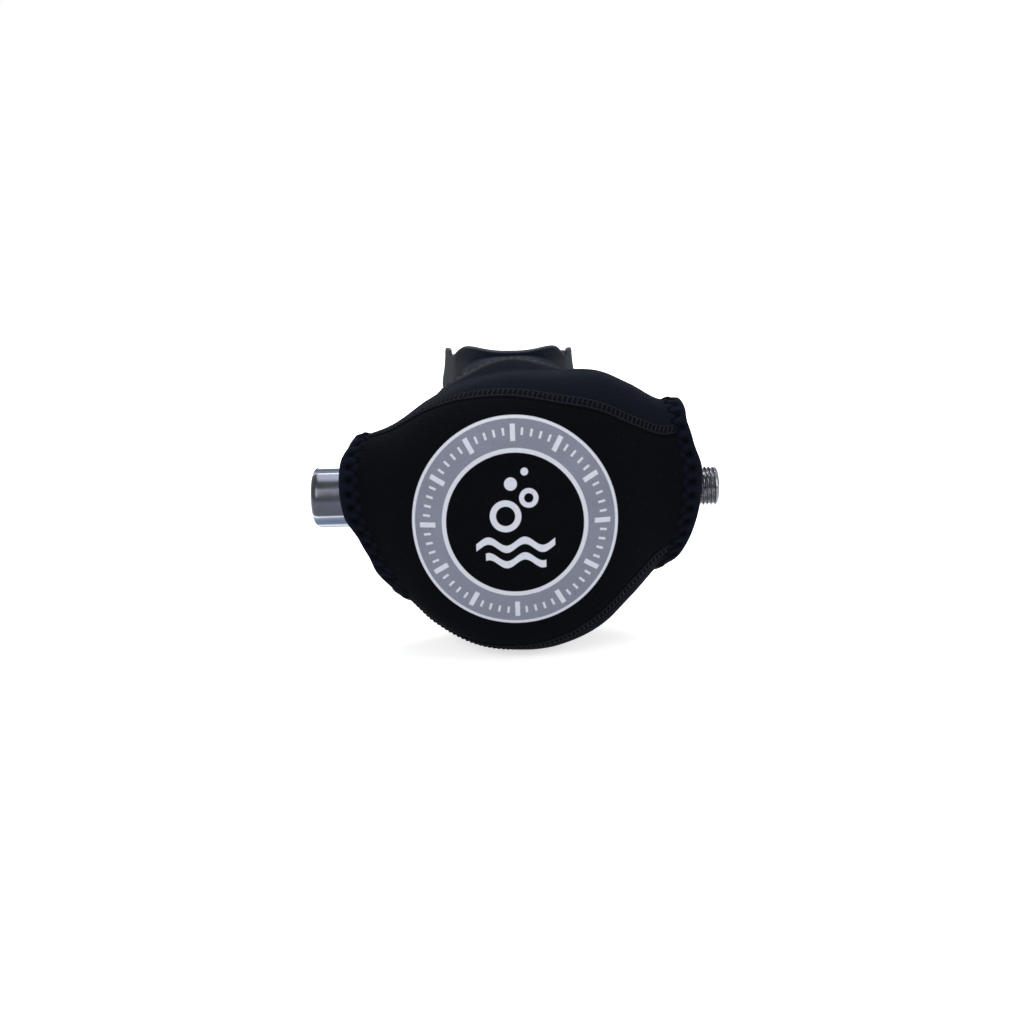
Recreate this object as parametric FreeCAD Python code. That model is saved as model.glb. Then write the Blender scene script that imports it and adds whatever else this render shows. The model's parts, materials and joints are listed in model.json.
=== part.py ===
import FreeCAD, Part
import os
from math import asin, cos, degrees, exp, hypot, pi, sin, sqrt

from FreeCAD import Vector

# A diver's adjustable second-stage regulator in its neoprene cover, in millimetres.
# +X runs along the air barrel to the hose inlet, the purge face looks along -Y, and +Z is up.
# Pieces are drawn about the barrel's axis with x = 0 in the middle of the case. On export they
# move along X so that the origin is the middle of the hose inlet's thread.

# Case
case_drop = 5.5  # the round case's axis lies this far below the barrel's axis
case_radius = 38.6
case_wall = 2.2
case_rim_step = 1.2
case_rim_radius = case_radius + case_rim_step
case_front = -15.0
case_rim_thickness = 3.0
case_back = 16.0
case_back_round = 8.0
round_flats = 5  # a turned round is drawn with this many flats
boss_radius = 10.5
boss_stand = 7.4  # how far the barrel's bosses stand out of the case's side
boss_reach = case_radius + boss_stand
boss_depth = 5.6  # and how far they run into it
boss_inner_reach = case_radius - boss_depth

# Air barrel and what it carries
barrel_radius = 7.5
barrel_bore = 5.4
barrel_hole_clearance = 0.1
barrel_nut_across_flats = 20.0
barrel_nut_length = 6.0
barrel_thread_stand = 1.0  # the barrel's threaded end stands out of its nut
barrel_left_end = -(boss_reach + barrel_nut_length + barrel_thread_stand)
barrel_right_end = boss_reach - 0.4
running_gap = 0.1
seal_cord_radius = 0.62
seal_inset = 4.0  # from a boss's outer end to its seal

# Hose inlet
thread_radius = 7.14
thread_length = 19.0
inlet_relief_length = 2.8
inlet_relief_depth = 0.95
inlet_flange_across_flats = 19.0
inlet_flange_thickness = 6.0
inlet_end = boss_reach + inlet_flange_thickness + inlet_relief_length + thread_length
inlet_shank_length = 9.0
inlet_bore = 4.5
inlet_bore_depth = 12.4
orifice_collar_radius = 3.85
orifice_collar_length = 2.6
inlet_chamfer = 0.8
orifice_tip = boss_reach - 16.5
orifice_radius = 2.9
orifice_bore = 1.6
orifice_groove_width = 1.5
orifice_groove_depth = 0.7

# Purge face
cover_plate_thickness = 1.6
cover_plate_rim = 2.4
cover_dome_crown = -25.0
cover_slot_count = 12
cover_slot_width = 3.2
cover_lip = 3.4  # width of the plate's clamped rim
cover_shoulder = 10.8  # from the rim in to where the dome starts to flatten
spider_back = -17.2  # the spider that guides the button's stem
spider_thickness = 1.0
button_radius = 12.0
button_crown = -25.2
button_edge_thickness = 1.8
button_stem_radius = 2.4
button_clearance = 0.4  # round the button in its collar
button_gap = 0.1  # from the button's stem to the diaphragm
clamp_ring_wall = 1.0
clamp_ring_clearance = 0.2
clamp_ring_radius = case_rim_radius + clamp_ring_clearance + clamp_ring_wall
diaphragm_thickness = 0.8
clamp_gap_angle = 35.0  # below the horizontal, on the inlet side, where the cover leaves room
clamp_lug_rise = 2.2
clamp_screw_radius = 1.1
plate_radius = 19.0
plate_thickness = 0.8

# Demand lever
adjuster_front = barrel_left_end + 16.0
lever_pivot_x = adjuster_front + 17.1
lever_pivot_y = -8.3
lever_pin_radius = 0.7
lever_pin_gap = 0.05
lever_tip_x = 2.0
lever_tip_y = -13.6
lever_arm_thickness = 1.0
lever_arm_width = 2.0
lever_arm_spacing = 4.0
lever_foot_thickness = 1.4
lever_foot_end_y = -1.0

# Poppet train
poppet_head_radius = 4.8
poppet_head_length = 6.8
poppet_stem_radius = 2.0
poppet_tail_radius = 1.5
seat_thickness = 1.8
seat_radius = 3.6
seat_gap = 0.1
washer_thickness = 1.2
washer_radius = 4.8
locknut_across_flats = 7.0
locknut_length = 3.0
poppet_tail_end = adjuster_front + 3.0
spring_wire = 1.0
main_spring_radius = 4.1
main_spring_turns = 6

# Spring adjuster and knob
adjuster_length = 10.0
adjuster_chamfer = 0.4
key_width = 1.6
balance_plug_radius = 3.0
balance_plug_seat = 4.0
spindle_radius = 2.5
spindle_collar_radius = 4.9
spindle_collar_thickness = 1.6
spindle_neck_radius = 3.2
knob_radius = 11.1
knob_length = 19.3
knob_gap = 0.6  # from the knob to the barrel's end
knob_inner_end = barrel_left_end - knob_gap
knob_outer_end = knob_inner_end - knob_length
knob_cavity_radius = 8.4
knob_cavity_depth = 7.0
knob_round = 2.8
knob_flute_count = 3
knob_flute_turn = 10.0  # degrees from straight up towards the face
knob_flute_radius = 7.0
knob_flute_depth = 0.9
knob_end_wall = 2.6
knob_cap_radius = 6.1
knob_cap_thickness = 0.7

# Exhaust
exhaust_centre_z = -25.0
exhaust_port_radius = 13.0
exhaust_collar_radius = 17.0
exhaust_collar_height = 4.5
exhaust_spoke_count = 6
exhaust_disc_radius = 14.4
exhaust_disc_thickness = 0.7
exhaust_hub_radius = 4.0
exhaust_spoke_width = 1.8
valve_stem_radius = 2.1
tee_wall = 2.4
tee_reach = 38.0
tee_socket_end = 31.0
tee_fin_thickness = 1.8

# Mouth tube and mouthpiece
mouth_tilt = 12.0
mouth_root_y = 13.0
mouth_root_z = 20.0
mouth_tube_width = 36.0
mouth_tube_height = 22.0
mouth_tube_wall = 2.0
mouth_tube_length = 22.0
mouth_tube_lip = 0.8
mouth_power = 2.6
mouthpiece_wall = 3.0
mouthpiece_gap = 0.15
neck_start = 6.0
neck_end = 22.0
neck_taper_end = 30.0
shield_face = 55.0
shield_width = 52.5
shield_height = 27.0
shield_thickness = 2.6
shield_sweep_radius = 58.0
bore_width = 27.0
bore_height = 13.0
bite_length = 19.0
bite_width = 13.0
bite_thickness = 3.2
bite_lug_height = 9.0
bite_lug_thickness = 2.4
bite_centre_x = 17.5
tie_width = 3.6
tie_thickness = 1.3
tie_groove_depth = 1.0
tie_station = 11.0

# Neoprene cover
neoprene = 3.0
case_clearance = 0.3  # between the case's back and the cover's inside
cover_back = case_back + case_clearance + neoprene
button_room = 0.5  # between the purge button and the cover's face
cover_front = button_crown - button_room - neoprene
hem_width = 7.0
hem_growth = 0.8
binding_width = 5.0
binding_thickness = 1.2
# The two sleeve ends are bowed cuts: end x, radius of the bow, height of its middle, lowest and highest z.
left_sleeve = (barrel_left_end - 8.8, 54.0, 8.5, -28.0, 26.0)
right_sleeve = (inlet_end - 7.4, 60.0, 7.0, -27.0, 37.0)
# The seam between face and side panels passes through these (x, y) points.
seam_points = ((-60.0, -1.0), (14.0, -22.5), (60.0, -12.0))
opening_half_width = 33.0
opening_top = 44.0
opening_bottom = -45.5
opening_half_height = (opening_top - opening_bottom) / 2
opening_centre_z = (opening_top + opening_bottom) / 2
# The cover's top edge stands up in a brow over the mouth tube: its middle, how far it reaches to each
# side, and how far it lifts the corner between top and back, up and to the back.
brow_x = -1.0
brow_reach = 20.0
brow_rise = 7.0
brow_back = 5.0
cover_lowest = -(case_radius + 18.4)
tee_foot = cover_lowest  # so that cover and hood both stand on a table
# Stations along the barrel: x, top, bottom, front and back of the cover's outside, and how boxy it is.
# Those round the drum follow the case's radius, and the two outer ones follow the knob and the inlet.
cover_stations = (
    (knob_outer_end + 4.9, 18.5, -23.5, -15.4, 15.4, 2.2),
    (-case_radius - 13.4, 22.8, -28.7, -18.0, cover_back - 3.3, 2.4),
    (-case_radius - 3.4, 26.8, -34.8, cover_front + 5.7, cover_back - 1.8, 2.7),
    (-case_radius + 8.6, case_radius - 4.0, cover_lowest + 11.1, cover_front + 1.9, cover_back, 3.1),
    (-case_radius + 23.6, case_radius + 3.0, cover_lowest + 2.8, cover_front + 0.4, cover_back, 3.2),
    (0.0, case_radius + 5.6, cover_lowest, cover_front, cover_back, 3.2),
    (case_radius - 23.6, case_radius + 5.6, cover_lowest + 1.5, cover_front + 0.4, cover_back, 3.2),
    (case_radius - 8.6, case_radius + 4.4, cover_lowest + 8.0, cover_front + 1.9, cover_back, 3.1),
    (case_radius + 3.4, 37.4, -38.6, cover_front + 5.7, cover_back - 1.5, 2.7),
    (case_radius + 13.4, 33.0, -28.9, -18.0, cover_back - 2.9, 2.5),
    (inlet_end - 13.8, 31.8, -25.2, -15.8, 15.6, 2.4),
    (inlet_end + 0.2, 31.2, -23.0, -14.6, 15.0, 2.2),
)

AXIS_X = Vector(1, 0, 0)
AXIS_Y = Vector(0, 1, 0)
AXIS_Z = Vector(0, 0, 1)
BEYOND = 1.0  # how far a cutting tool runs past the face that it opens
nodes = {}


# Shared building blocks
def cylinder_x(radius, x0, x1, y=0.0, z=0.0):
    return Part.makeCylinder(radius, x1 - x0, Vector(x0, y, z), AXIS_X)


def cylinder_y(radius, y0, y1, x=0.0, z=-case_drop):
    return Part.makeCylinder(radius, y1 - y0, Vector(x, y0, z), AXIS_Y)


def cylinder_z(radius, z0, z1, x, y):
    return Part.makeCylinder(radius, z1 - z0, Vector(x, y, z0), AXIS_Z)


def block(x0, x1, y0, y1, z0, z1):
    return Part.makeBox(x1 - x0, y1 - y0, z1 - z0, Vector(x0, y0, z0))


def hexagon_x(across_flats, x0, x1):
    corner = across_flats / 2 / cos(pi / 6)
    points = [Vector(x0, corner * cos(k * pi / 3), corner * sin(k * pi / 3)) for k in range(7)]
    return Part.Face(Part.makePolygon(points)).extrude(Vector(x1 - x0, 0, 0))


def revolve_y(points, z=-case_drop):
    """Turns a closed outline of (radius, y) points about a line along Y at height z."""
    corners = [Vector(radius, y, z) for radius, y in points]
    return Part.Face(Part.makePolygon(corners + corners[:1])).revolve(Vector(0, 0, z), AXIS_Y, 360)


def revolve_x(points):
    """Turns a closed outline of (x, radius) points about the barrel's axis."""
    corners = [Vector(x, 0, radius) for x, radius in points]
    return Part.Face(Part.makePolygon(corners + corners[:1])).revolve(Vector(), AXIS_X, 360)


def edges_on_circle(shape, radius, position, axis):
    """The full-circle edges of that radius whose centre stands at that position along the axis."""
    found = []
    for edge in shape.Edges:
        circle = edge.Curve
        if isinstance(circle, Part.Circle) and abs(circle.Radius - radius) < 1e-4:
            if abs(circle.Center.dot(axis) - position) < 1e-4:
                found.append(edge)
    return found


def corner_round(radius, position, size, toward=1):
    """Outline points round a turned corner, from the side wall at that radius to the end face."""
    points = []
    for k in range(round_flats + 1):
        turn = pi / 2 * k / round_flats
        points.append((radius - size + size * cos(turn), position - toward * size * (1 - sin(turn))))
    return points


def round_ended_drum(radius, start, end, size):
    """A drum along Y whose far edge is rounded."""
    return revolve_y([(0, start), (radius, start)] + corner_round(radius, end, size) + [(0, end)])


def superellipse(half_across, half_up, power, count=16):
    """Points round an oval that gets boxier as the power rises above 2."""
    points = []
    for k in range(count):
        turn = 2 * pi * (k + 0.5) / count
        across = abs(cos(turn)) ** (2 / power) * (1 if cos(turn) > 0 else -1)
        up = abs(sin(turn)) ** (2 / power) * (1 if sin(turn) > 0 else -1)
        points.append((half_across * across, half_up * up))
    return points


def closed_spline(points):
    curve = Part.BSplineCurve()
    curve.interpolate(Points=points, PeriodicFlag=True)
    return Part.Wire([curve.toShape()])


def oval_xz(width, height, y, power=mouth_power):
    return closed_spline([Vector(x, y, z) for x, z in superellipse(width / 2, height / 2, power)])


def oval_prism(width, height, y0, y1):
    return Part.Face(oval_xz(width, height, y0)).extrude(Vector(0, y1 - y0, 0))


def on_mouth_axis(shape):
    """Swings a piece built along +Y from the origin up to the mouth tube's axis and root."""
    shape = shape.copy()
    shape.rotate(Vector(), AXIS_X, mouth_tilt)
    shape.translate(Vector(0, mouth_root_y, mouth_root_z))
    return shape


def ring_x(radius, cord, x):
    """A sealing ring: a round cord, drawn with ten flats, turned about the barrel's axis."""
    turns = [2 * pi * k / 10 for k in range(10)]
    return revolve_x([(x + cord * cos(t), radius + cord * sin(t)) for t in turns])


def coil_spring(base_radius, top_radius, wire, length, turns, steps=12, sides=6):
    """A coil from 0 to length along +Z: a six-sided wire ruled from step to step."""
    rise = length - wire
    sections = []
    for k in range(turns * steps + 1):
        done = k / (turns * steps)
        radius = base_radius + (top_radius - base_radius) * done
        outward = Vector(cos(2 * pi * turns * done), sin(2 * pi * turns * done), 0)
        centre = outward * radius + Vector(0, 0, wire / 2 + rise * done)
        ring = []
        for side in range(sides + 1):
            turn = 2 * pi * (side + 0.5) / sides
            ring.append(centre + outward * (wire / 2 * cos(turn)) + AXIS_Z * (wire / 2 * sin(turn)))
        sections.append(Part.makePolygon(ring))
    return Part.makeLoft(sections, True, True)


# Case
def mouth_tube():
    outside = oval_prism(mouth_tube_width, mouth_tube_height, 0, mouth_tube_length)
    lip_width = mouth_tube_width + 2 * mouth_tube_lip
    lip_height = mouth_tube_height + 2 * mouth_tube_lip
    lip = Part.makeLoft(
        [
            oval_xz(lip_width, lip_height, mouth_tube_length - 2.4),
            oval_xz(mouth_tube_width, mouth_tube_height, mouth_tube_length),
        ],
        True,
    )
    return on_mouth_axis(outside.fuse(lip))


def mouth_passage():
    width = mouth_tube_width - 2 * mouth_tube_wall
    height = mouth_tube_height - 2 * mouth_tube_wall
    return on_mouth_axis(oval_prism(width, height, -2 * BEYOND, mouth_tube_length + BEYOND))


def exhaust_collar():
    face = case_back + exhaust_collar_height
    collar = cylinder_y(exhaust_collar_radius, case_back - 0.5, face, z=exhaust_centre_z)
    mouth = cylinder_y(exhaust_disc_radius + 0.8, case_back, face + BEYOND, z=exhaust_centre_z)
    return collar.cut(mouth)


def exhaust_windows():
    """The openings between the spokes that carry the exhaust valve."""
    near = case_back - 2 * case_wall
    far = case_back + 2 * BEYOND
    ring = cylinder_y(exhaust_port_radius, near, case_back + BEYOND, z=exhaust_centre_z)
    hub = cylinder_y(exhaust_hub_radius, near - BEYOND, far, z=exhaust_centre_z)
    windows = ring.cut(hub)
    reach = exhaust_port_radius + BEYOND
    half = exhaust_spoke_width / 2
    for k in range(exhaust_spoke_count // 2):
        spoke = block(-reach, reach, near - BEYOND, far, exhaust_centre_z - half, exhaust_centre_z + half)
        spoke.rotate(Vector(0, 0, exhaust_centre_z), AXIS_Y, k * 360 / exhaust_spoke_count)
        windows = windows.cut(spoke)
    return windows


def case():
    """The moulded shell: drum, rim, two barrel bosses, mouth tube and exhaust port in one piece."""
    rim_back = case_front + case_rim_thickness
    shell = round_ended_drum(case_radius, rim_back - 1, case_back, case_back_round)
    shell = shell.fuse(cylinder_y(case_rim_radius, case_front, rim_back))
    hollow_radius = case_radius - case_wall
    hollow_end = case_back - case_wall
    hollow = round_ended_drum(hollow_radius, case_front - BEYOND, hollow_end, case_back_round - case_wall)
    for side in (-1, 1):
        near, far = sorted((side * boss_inner_reach, side * boss_reach))
        shell = shell.fuse(cylinder_x(boss_radius, near, far))
        near, far = sorted((side * boss_inner_reach, side * (hollow_radius + BEYOND)))
        hollow = hollow.cut(cylinder_x(boss_radius, near, far))
    shell = shell.fuse([mouth_tube(), exhaust_collar()])
    shell = shell.cut(hollow).cut(mouth_passage()).cut(exhaust_windows())
    hole_radius = valve_stem_radius + running_gap
    valve_hole = cylinder_y(hole_radius, hollow_end - BEYOND, case_back + 2, z=exhaust_centre_z)
    shell = shell.cut(valve_hole)
    barrel_hole = barrel_radius + barrel_hole_clearance
    return shell.cut(cylinder_x(barrel_hole, -boss_reach - BEYOND, boss_reach + BEYOND))


# Purge face
def front_cover():
    """A domed, slotted plate with a collar for the button and a spider that guides its stem."""
    rim = case_front - diaphragm_thickness
    top = rim - cover_plate_rim
    crown = cover_dome_crown
    wall = cover_plate_thickness
    collar = button_radius + button_clearance
    outer = case_rim_radius
    lip = outer - 2.0
    bore = outer - cover_lip
    shoulder = outer - cover_shoulder
    brow = collar + 8.6
    plate = revolve_y(
        [
            (outer, rim),
            (outer, top),
            (lip, top),
            (lip - 0.8, top - wall),
            (shoulder, top - 4.2),
            (brow, top - 5.8),
            (collar + 2.0, crown),
            (collar, crown),
            (collar, spider_back),
            (collar + wall, spider_back),
            (collar + wall, crown + wall + 0.6),
            (brow, top - 5.8 + wall),
            (shoulder, top - 4.2 + wall),
            (bore, rim - 1.4),
            (bore, rim),
        ]
    )
    half = cover_slot_width / 2
    slot = block(brow - 1.5, bore - 3.9, crown - BEYOND, rim - 0.6, -half, half)
    ends = [e for e in slot.Edges if e.Length > 8 and abs(e.tangentAt(0).y) > 0.9]
    slot = slot.makeFillet(half - 0.1, ends)
    slot.translate(Vector(0, 0, -case_drop))
    for k in range(cover_slot_count):
        turned = slot.copy()
        turned.rotate(Vector(0, 0, -case_drop), AXIS_Y, (k + 0.5) * 360 / cover_slot_count)
        plate = plate.cut(turned)
    spider_front = spider_back - spider_thickness
    spider = cylinder_y(button_stem_radius + 1.8, spider_front, spider_back)
    for k in range(3):
        arm = block(0, collar + wall / 2, spider_front, spider_back, -case_drop - 1.2, -case_drop + 1.2)
        arm.rotate(Vector(0, 0, -case_drop), AXIS_Y, 90 + k * 120)
        spider = spider.fuse(arm)
    stem_hole = cylinder_y(button_stem_radius + running_gap, spider_front - BEYOND, spider_back + BEYOND)
    return plate.fuse(spider).cut(stem_hole)


def purge_button():
    edge = button_crown + 0.8
    rim = edge + button_edge_thickness
    stem_end = case_front - diaphragm_thickness - button_gap
    cap = revolve_y(
        [
            (0, button_crown),
            (7.0, button_crown + 0.2),
            (button_radius - 1.0, edge - 0.1),
            (button_radius, edge + 0.5),
            (button_radius, rim),
            (button_radius - 1.4, rim),
            (button_radius - 1.4, edge + 1.4),
            (button_stem_radius, edge + 1.2),
            (button_stem_radius, stem_end),
            (0, stem_end),
        ]
    )
    return cap


def purge_spring():
    """A conical coil that would press flat under the button, drawn at its rest length."""
    bottom = spider_back - spider_thickness
    top = button_crown + 0.8 + 1.4 + 0.1
    coil = coil_spring(3.6, 6.2, 0.6, bottom - top - 0.05, 3)
    coil.rotate(Vector(), AXIS_X, -90)
    coil.translate(Vector(0, top, -case_drop))
    return coil


def diaphragm():
    """A soft disc with a clamped bead, one rolled convolution and a flat middle."""
    face = case_front - diaphragm_thickness
    skin = diaphragm_thickness
    roll = case_rim_radius - 9.0
    outside = [
        (case_rim_radius, face),
        (roll + 4.8, face),
        (roll + 3.0, face + 1.3),
        (roll + 1.2, face + 2.0),
        (roll - 1.2, face + 2.0),
        (roll - 3.0, face + 1.3),
        (roll - 5.8, face),
        (0, face),
    ]
    inside = [(radius, y + skin) for radius, y in reversed(outside)]
    return revolve_y(outside + inside)


def diaphragm_plate():
    near = case_front
    disc = revolve_y(
        [
            (0, near),
            (plate_radius, near),
            (plate_radius, near + plate_thickness * 0.6),
            (plate_radius - 2.0, near + plate_thickness),
            (0, near + plate_thickness),
        ]
    )
    return disc


def at_clamp_gap(shape):
    """Swings a piece built below the case round to where the clamp ring is split."""
    shape = shape.copy()
    shape.rotate(Vector(0, 0, -case_drop), AXIS_Y, clamp_gap_angle - 90)
    return shape


def clamp_ring():
    """A springy channel band that grips the front cover, the diaphragm and the case's rim."""
    front = case_front - diaphragm_thickness - cover_plate_rim
    back = case_front + case_rim_thickness
    outer = clamp_ring_radius
    bore = outer - clamp_ring_wall
    lip = case_radius + 0.3
    ring = revolve_y(
        [
            (case_rim_radius - 1.6, front - 0.05),
            (case_rim_radius - 1.6, front - clamp_ring_wall),
            (outer - 0.8, front - clamp_ring_wall),
            (outer, front),
            (outer, back + 0.2),
            (outer - 0.6, back + 0.2 + clamp_ring_wall),
            (lip, back + 0.2 + clamp_ring_wall),
            (lip, back + 0.1),
            (bore, back + 0.1),
            (bore, front - 0.05),
        ]
    )
    gap = block(-2.2, 2.2, front - 4, back + 4, -case_drop - outer - 2, -case_drop - lip + 6)
    middle = (front + back) / 2
    height = -case_drop - outer - clamp_lug_rise
    ring = ring.cut(at_clamp_gap(gap))
    for side in (-1, 1):
        x0, x1 = sorted((side * 2.2, side * 4.2))
        lug = block(x0, x1, middle - 2.4, middle + 2.4, height - 2.4, -case_drop - bore)
        lug = lug.makeFillet(2.0, [e for e in lug.Edges if e.Length < 2.1 and e.CenterOfMass.z < height])
        ring = ring.fuse(at_clamp_gap(lug))
    hole = cylinder_x(clamp_screw_radius + running_gap, -6, 6, middle, height)
    return ring.cut(at_clamp_gap(hole)).removeSplitter()


def clamp_screw():
    """The screw that draws the two ends of the clamp ring together."""
    front = case_front - diaphragm_thickness - cover_plate_rim
    middle = (front + case_front + case_rim_thickness) / 2
    height = -case_drop - clamp_ring_radius - clamp_lug_rise
    shank = cylinder_x(clamp_screw_radius, -4.2, 4.2, middle, height)
    head = cylinder_x(2.2, 4.2, 6.0, middle, height)
    nut = cylinder_x(2.1, -5.8, -4.2, middle, height)
    return at_clamp_gap(shank.fuse([head, nut]))


# Barrel group
def air_barrel():
    tube = cylinder_x(barrel_radius, barrel_left_end, barrel_right_end)
    tube = tube.cut(cylinder_x(barrel_bore, barrel_left_end - BEYOND, barrel_right_end + BEYOND))
    # Two ears carry the lever's pin outside the tube.
    ear_half = 1.7
    for side in (-1, 1):
        inner = lever_arm_spacing + lever_arm_width / 2 + 0.2
        z0, z1 = sorted((side * inner, side * (inner + 1.5)))
        ear = block(lever_pivot_x - ear_half, lever_pivot_x + ear_half, lever_pivot_y - 1.3, -4.6, z0, z1)
        tube = tube.fuse(ear)
    tube = tube.cut(cylinder_x(barrel_bore, lever_pivot_x - 3, lever_pivot_x + 3))
    pin_hole = lever_pin_radius + lever_pin_gap
    tube = tube.cut(cylinder_z(pin_hole, -8, 8, lever_pivot_x, lever_pivot_y))
    # Slots let the lever's legs down to the poppet's washer.
    for side in (-1, 1):
        half = lever_arm_width / 2 + 0.2
        z0 = side * lever_arm_spacing - half
        z1 = side * lever_arm_spacing + half
        slot = block(lever_pivot_x - 2.4, lever_pivot_x + 1.6, -barrel_radius - 2, -1.5, z0, z1)
        tube = tube.cut(slot)
    # Windows in the downstream side let the air out toward the mouth tube.
    for x in (2.0, 10.0):
        window = cylinder_y(2.6, 2.0, barrel_radius + 2, x=x, z=0)
        tube = tube.cut(window)
    half = key_width / 2 + running_gap
    keyway = block(barrel_left_end - BEYOND, adjuster_front + 6, 3.0, barrel_bore + 1.0, -half, half)
    return tube.cut(keyway)


def air_deflector():
    """A clip round the barrel with a window and a vane that turns the air up the mouth tube."""
    inner = barrel_radius + 0.05
    start, end = -4.0, 16.0
    clip = cylinder_x(inner + 1.2, start, end)
    vane = block(start + 1.5, end - 1.5, 0, inner + 4.6, -4.0, -2.8)
    vane = vane.makeFillet(1.5, [e for e in vane.Edges if e.CenterOfMass.y > inner + 4 and e.Length < 1.3])
    clip = clip.fuse(vane).cut(cylinder_x(inner, start - 1, end + 1))
    clip = clip.cut(block(start - 1, end + 1, -12, -4.2, -12, 12))
    window = block(start + 2.5, end - 2.5, 0, 12, -2.8, 3.4)
    return clip.cut(window).removeSplitter()


def inlet_fitting():
    flange_start = boss_reach
    flange_end = flange_start + inlet_flange_thickness
    flange = hexagon_x(inlet_flange_across_flats, flange_start, flange_end)
    corner = inlet_flange_across_flats / 2 / cos(pi / 6)
    chamfer = revolve_x(
        [
            (flange_start, 0),
            (flange_start, corner),
            (flange_end - 1.2, corner),
            (flange_end, corner - 1.3),
            (flange_end, 0),
        ]
    )
    flange = flange.common(chamfer)
    thread_start = flange_end + inlet_relief_length
    relief = cylinder_x(thread_radius - inlet_relief_depth, flange_end, thread_start)
    thread = revolve_x(
        [
            (thread_start, 0),
            (thread_start, thread_radius - inlet_chamfer),
            (thread_start + inlet_chamfer, thread_radius),
            (inlet_end - inlet_chamfer, thread_radius),
            (inlet_end, thread_radius - inlet_chamfer),
            (inlet_end, 0),
        ]
    )
    shank_start = flange_start - inlet_shank_length
    shank = cylinder_x(barrel_bore - 0.05, shank_start, flange_start + 0.5)
    body = flange.fuse([relief, thread, shank])
    bore_floor = inlet_end - inlet_bore_depth
    body = body.cut(cylinder_x(inlet_bore, bore_floor, inlet_end + BEYOND))
    seat = cylinder_x(orifice_collar_radius + 0.05, bore_floor - orifice_collar_length, bore_floor + BEYOND)
    body = body.cut(seat)
    return body.cut(cylinder_x(orifice_radius + 0.05, shank_start - BEYOND, bore_floor))


def orifice():
    """The crown that the seat closes, held in the inlet fitting by its slotted collar."""
    collar_end = inlet_end - inlet_bore_depth
    collar_start = collar_end - orifice_collar_length
    groove = orifice_radius - orifice_groove_depth
    groove_start = boss_reach + 2.0
    groove_end = groove_start + orifice_groove_width
    crown = revolve_x(
        [
            (orifice_tip, orifice_bore),
            (orifice_tip, orifice_bore + 0.35),
            (orifice_tip + 1.6, orifice_radius),
            (groove_start, orifice_radius),
            (groove_start, groove),
            (groove_end, groove),
            (groove_end, orifice_radius),
            (collar_start, orifice_radius),
            (collar_start, orifice_collar_radius),
            (collar_end - 0.1, orifice_collar_radius),
            (collar_end - 0.1, orifice_bore),
        ]
    )
    slot = block(collar_end - 1.1, collar_end + 1, -inlet_bore, inlet_bore, -0.6, 0.6)
    return crown.cut(slot)


def orifice_seal():
    cord = orifice_groove_depth / 2 + 0.01
    middle = boss_reach + 2.0 + orifice_groove_width / 2
    return ring_x(orifice_radius - orifice_groove_depth + cord + 0.02, cord, middle)


def barrel_nut():
    start = -boss_reach - barrel_nut_length
    nut = hexagon_x(barrel_nut_across_flats, start, -boss_reach)
    corner = barrel_nut_across_flats / 2 / cos(pi / 6)
    chamfer = revolve_x(
        [(start, 0), (start, corner - 1.3), (start + 1.2, corner), (-boss_reach, corner), (-boss_reach, 0)]
    )
    return nut.common(chamfer).cut(cylinder_x(barrel_radius + 0.05, start - 1, -boss_reach + 1))


def barrel_seal_grooves(tube):
    floor = barrel_radius + barrel_hole_clearance - 2 * seal_cord_radius - 0.04
    half = seal_cord_radius + 0.18
    for x in (-boss_reach + seal_inset, boss_reach - seal_inset):
        groove = cylinder_x(barrel_radius + 1, x - half, x + half)
        tube = tube.cut(groove.cut(cylinder_x(floor, x - half, x + half)))
    return tube


def barrel_seals():
    middle = barrel_radius + barrel_hole_clearance - seal_cord_radius - 0.01
    return [ring_x(middle, seal_cord_radius, x) for x in (-boss_reach + seal_inset, boss_reach - seal_inset)]


# Lever and poppet train
def demand_lever():
    """A pressed-wire fork: a pin across the barrel, two legs into it and two arms to a pad."""
    outer = lever_arm_spacing + lever_arm_width / 2
    pin = cylinder_z(lever_pin_radius, -outer - 1.6, outer + 1.6, lever_pivot_x, lever_pivot_y)
    run = lever_tip_x - lever_pivot_x
    rise = lever_tip_y - lever_pivot_y
    slope = degrees(asin(rise / hypot(run, rise)))
    half = lever_arm_thickness / 2
    lever = pin
    for side in (-1, 1):
        z0 = side * lever_arm_spacing - lever_arm_width / 2
        z1 = side * lever_arm_spacing + lever_arm_width / 2
        arm = block(0, hypot(run, rise), -half, half, z0, z1)
        arm.rotate(Vector(), AXIS_Z, slope)
        arm.translate(Vector(lever_pivot_x, lever_pivot_y, 0))
        foot_half = lever_foot_thickness / 2
        leg = block(
            lever_pivot_x - foot_half, lever_pivot_x + foot_half, lever_pivot_y, lever_foot_end_y, z0, z1
        )
        lever = lever.fuse([arm, leg])
    cheek = cylinder_z(half, -outer, outer, lever_tip_x, lever_tip_y)
    bridge = block(hypot(run, rise) - 5.0, hypot(run, rise), -half, half, -outer, outer)
    bridge.rotate(Vector(), AXIS_Z, slope)
    bridge.translate(Vector(lever_pivot_x, lever_pivot_y, 0))
    return lever.fuse([bridge, cheek]).removeSplitter()


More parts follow.
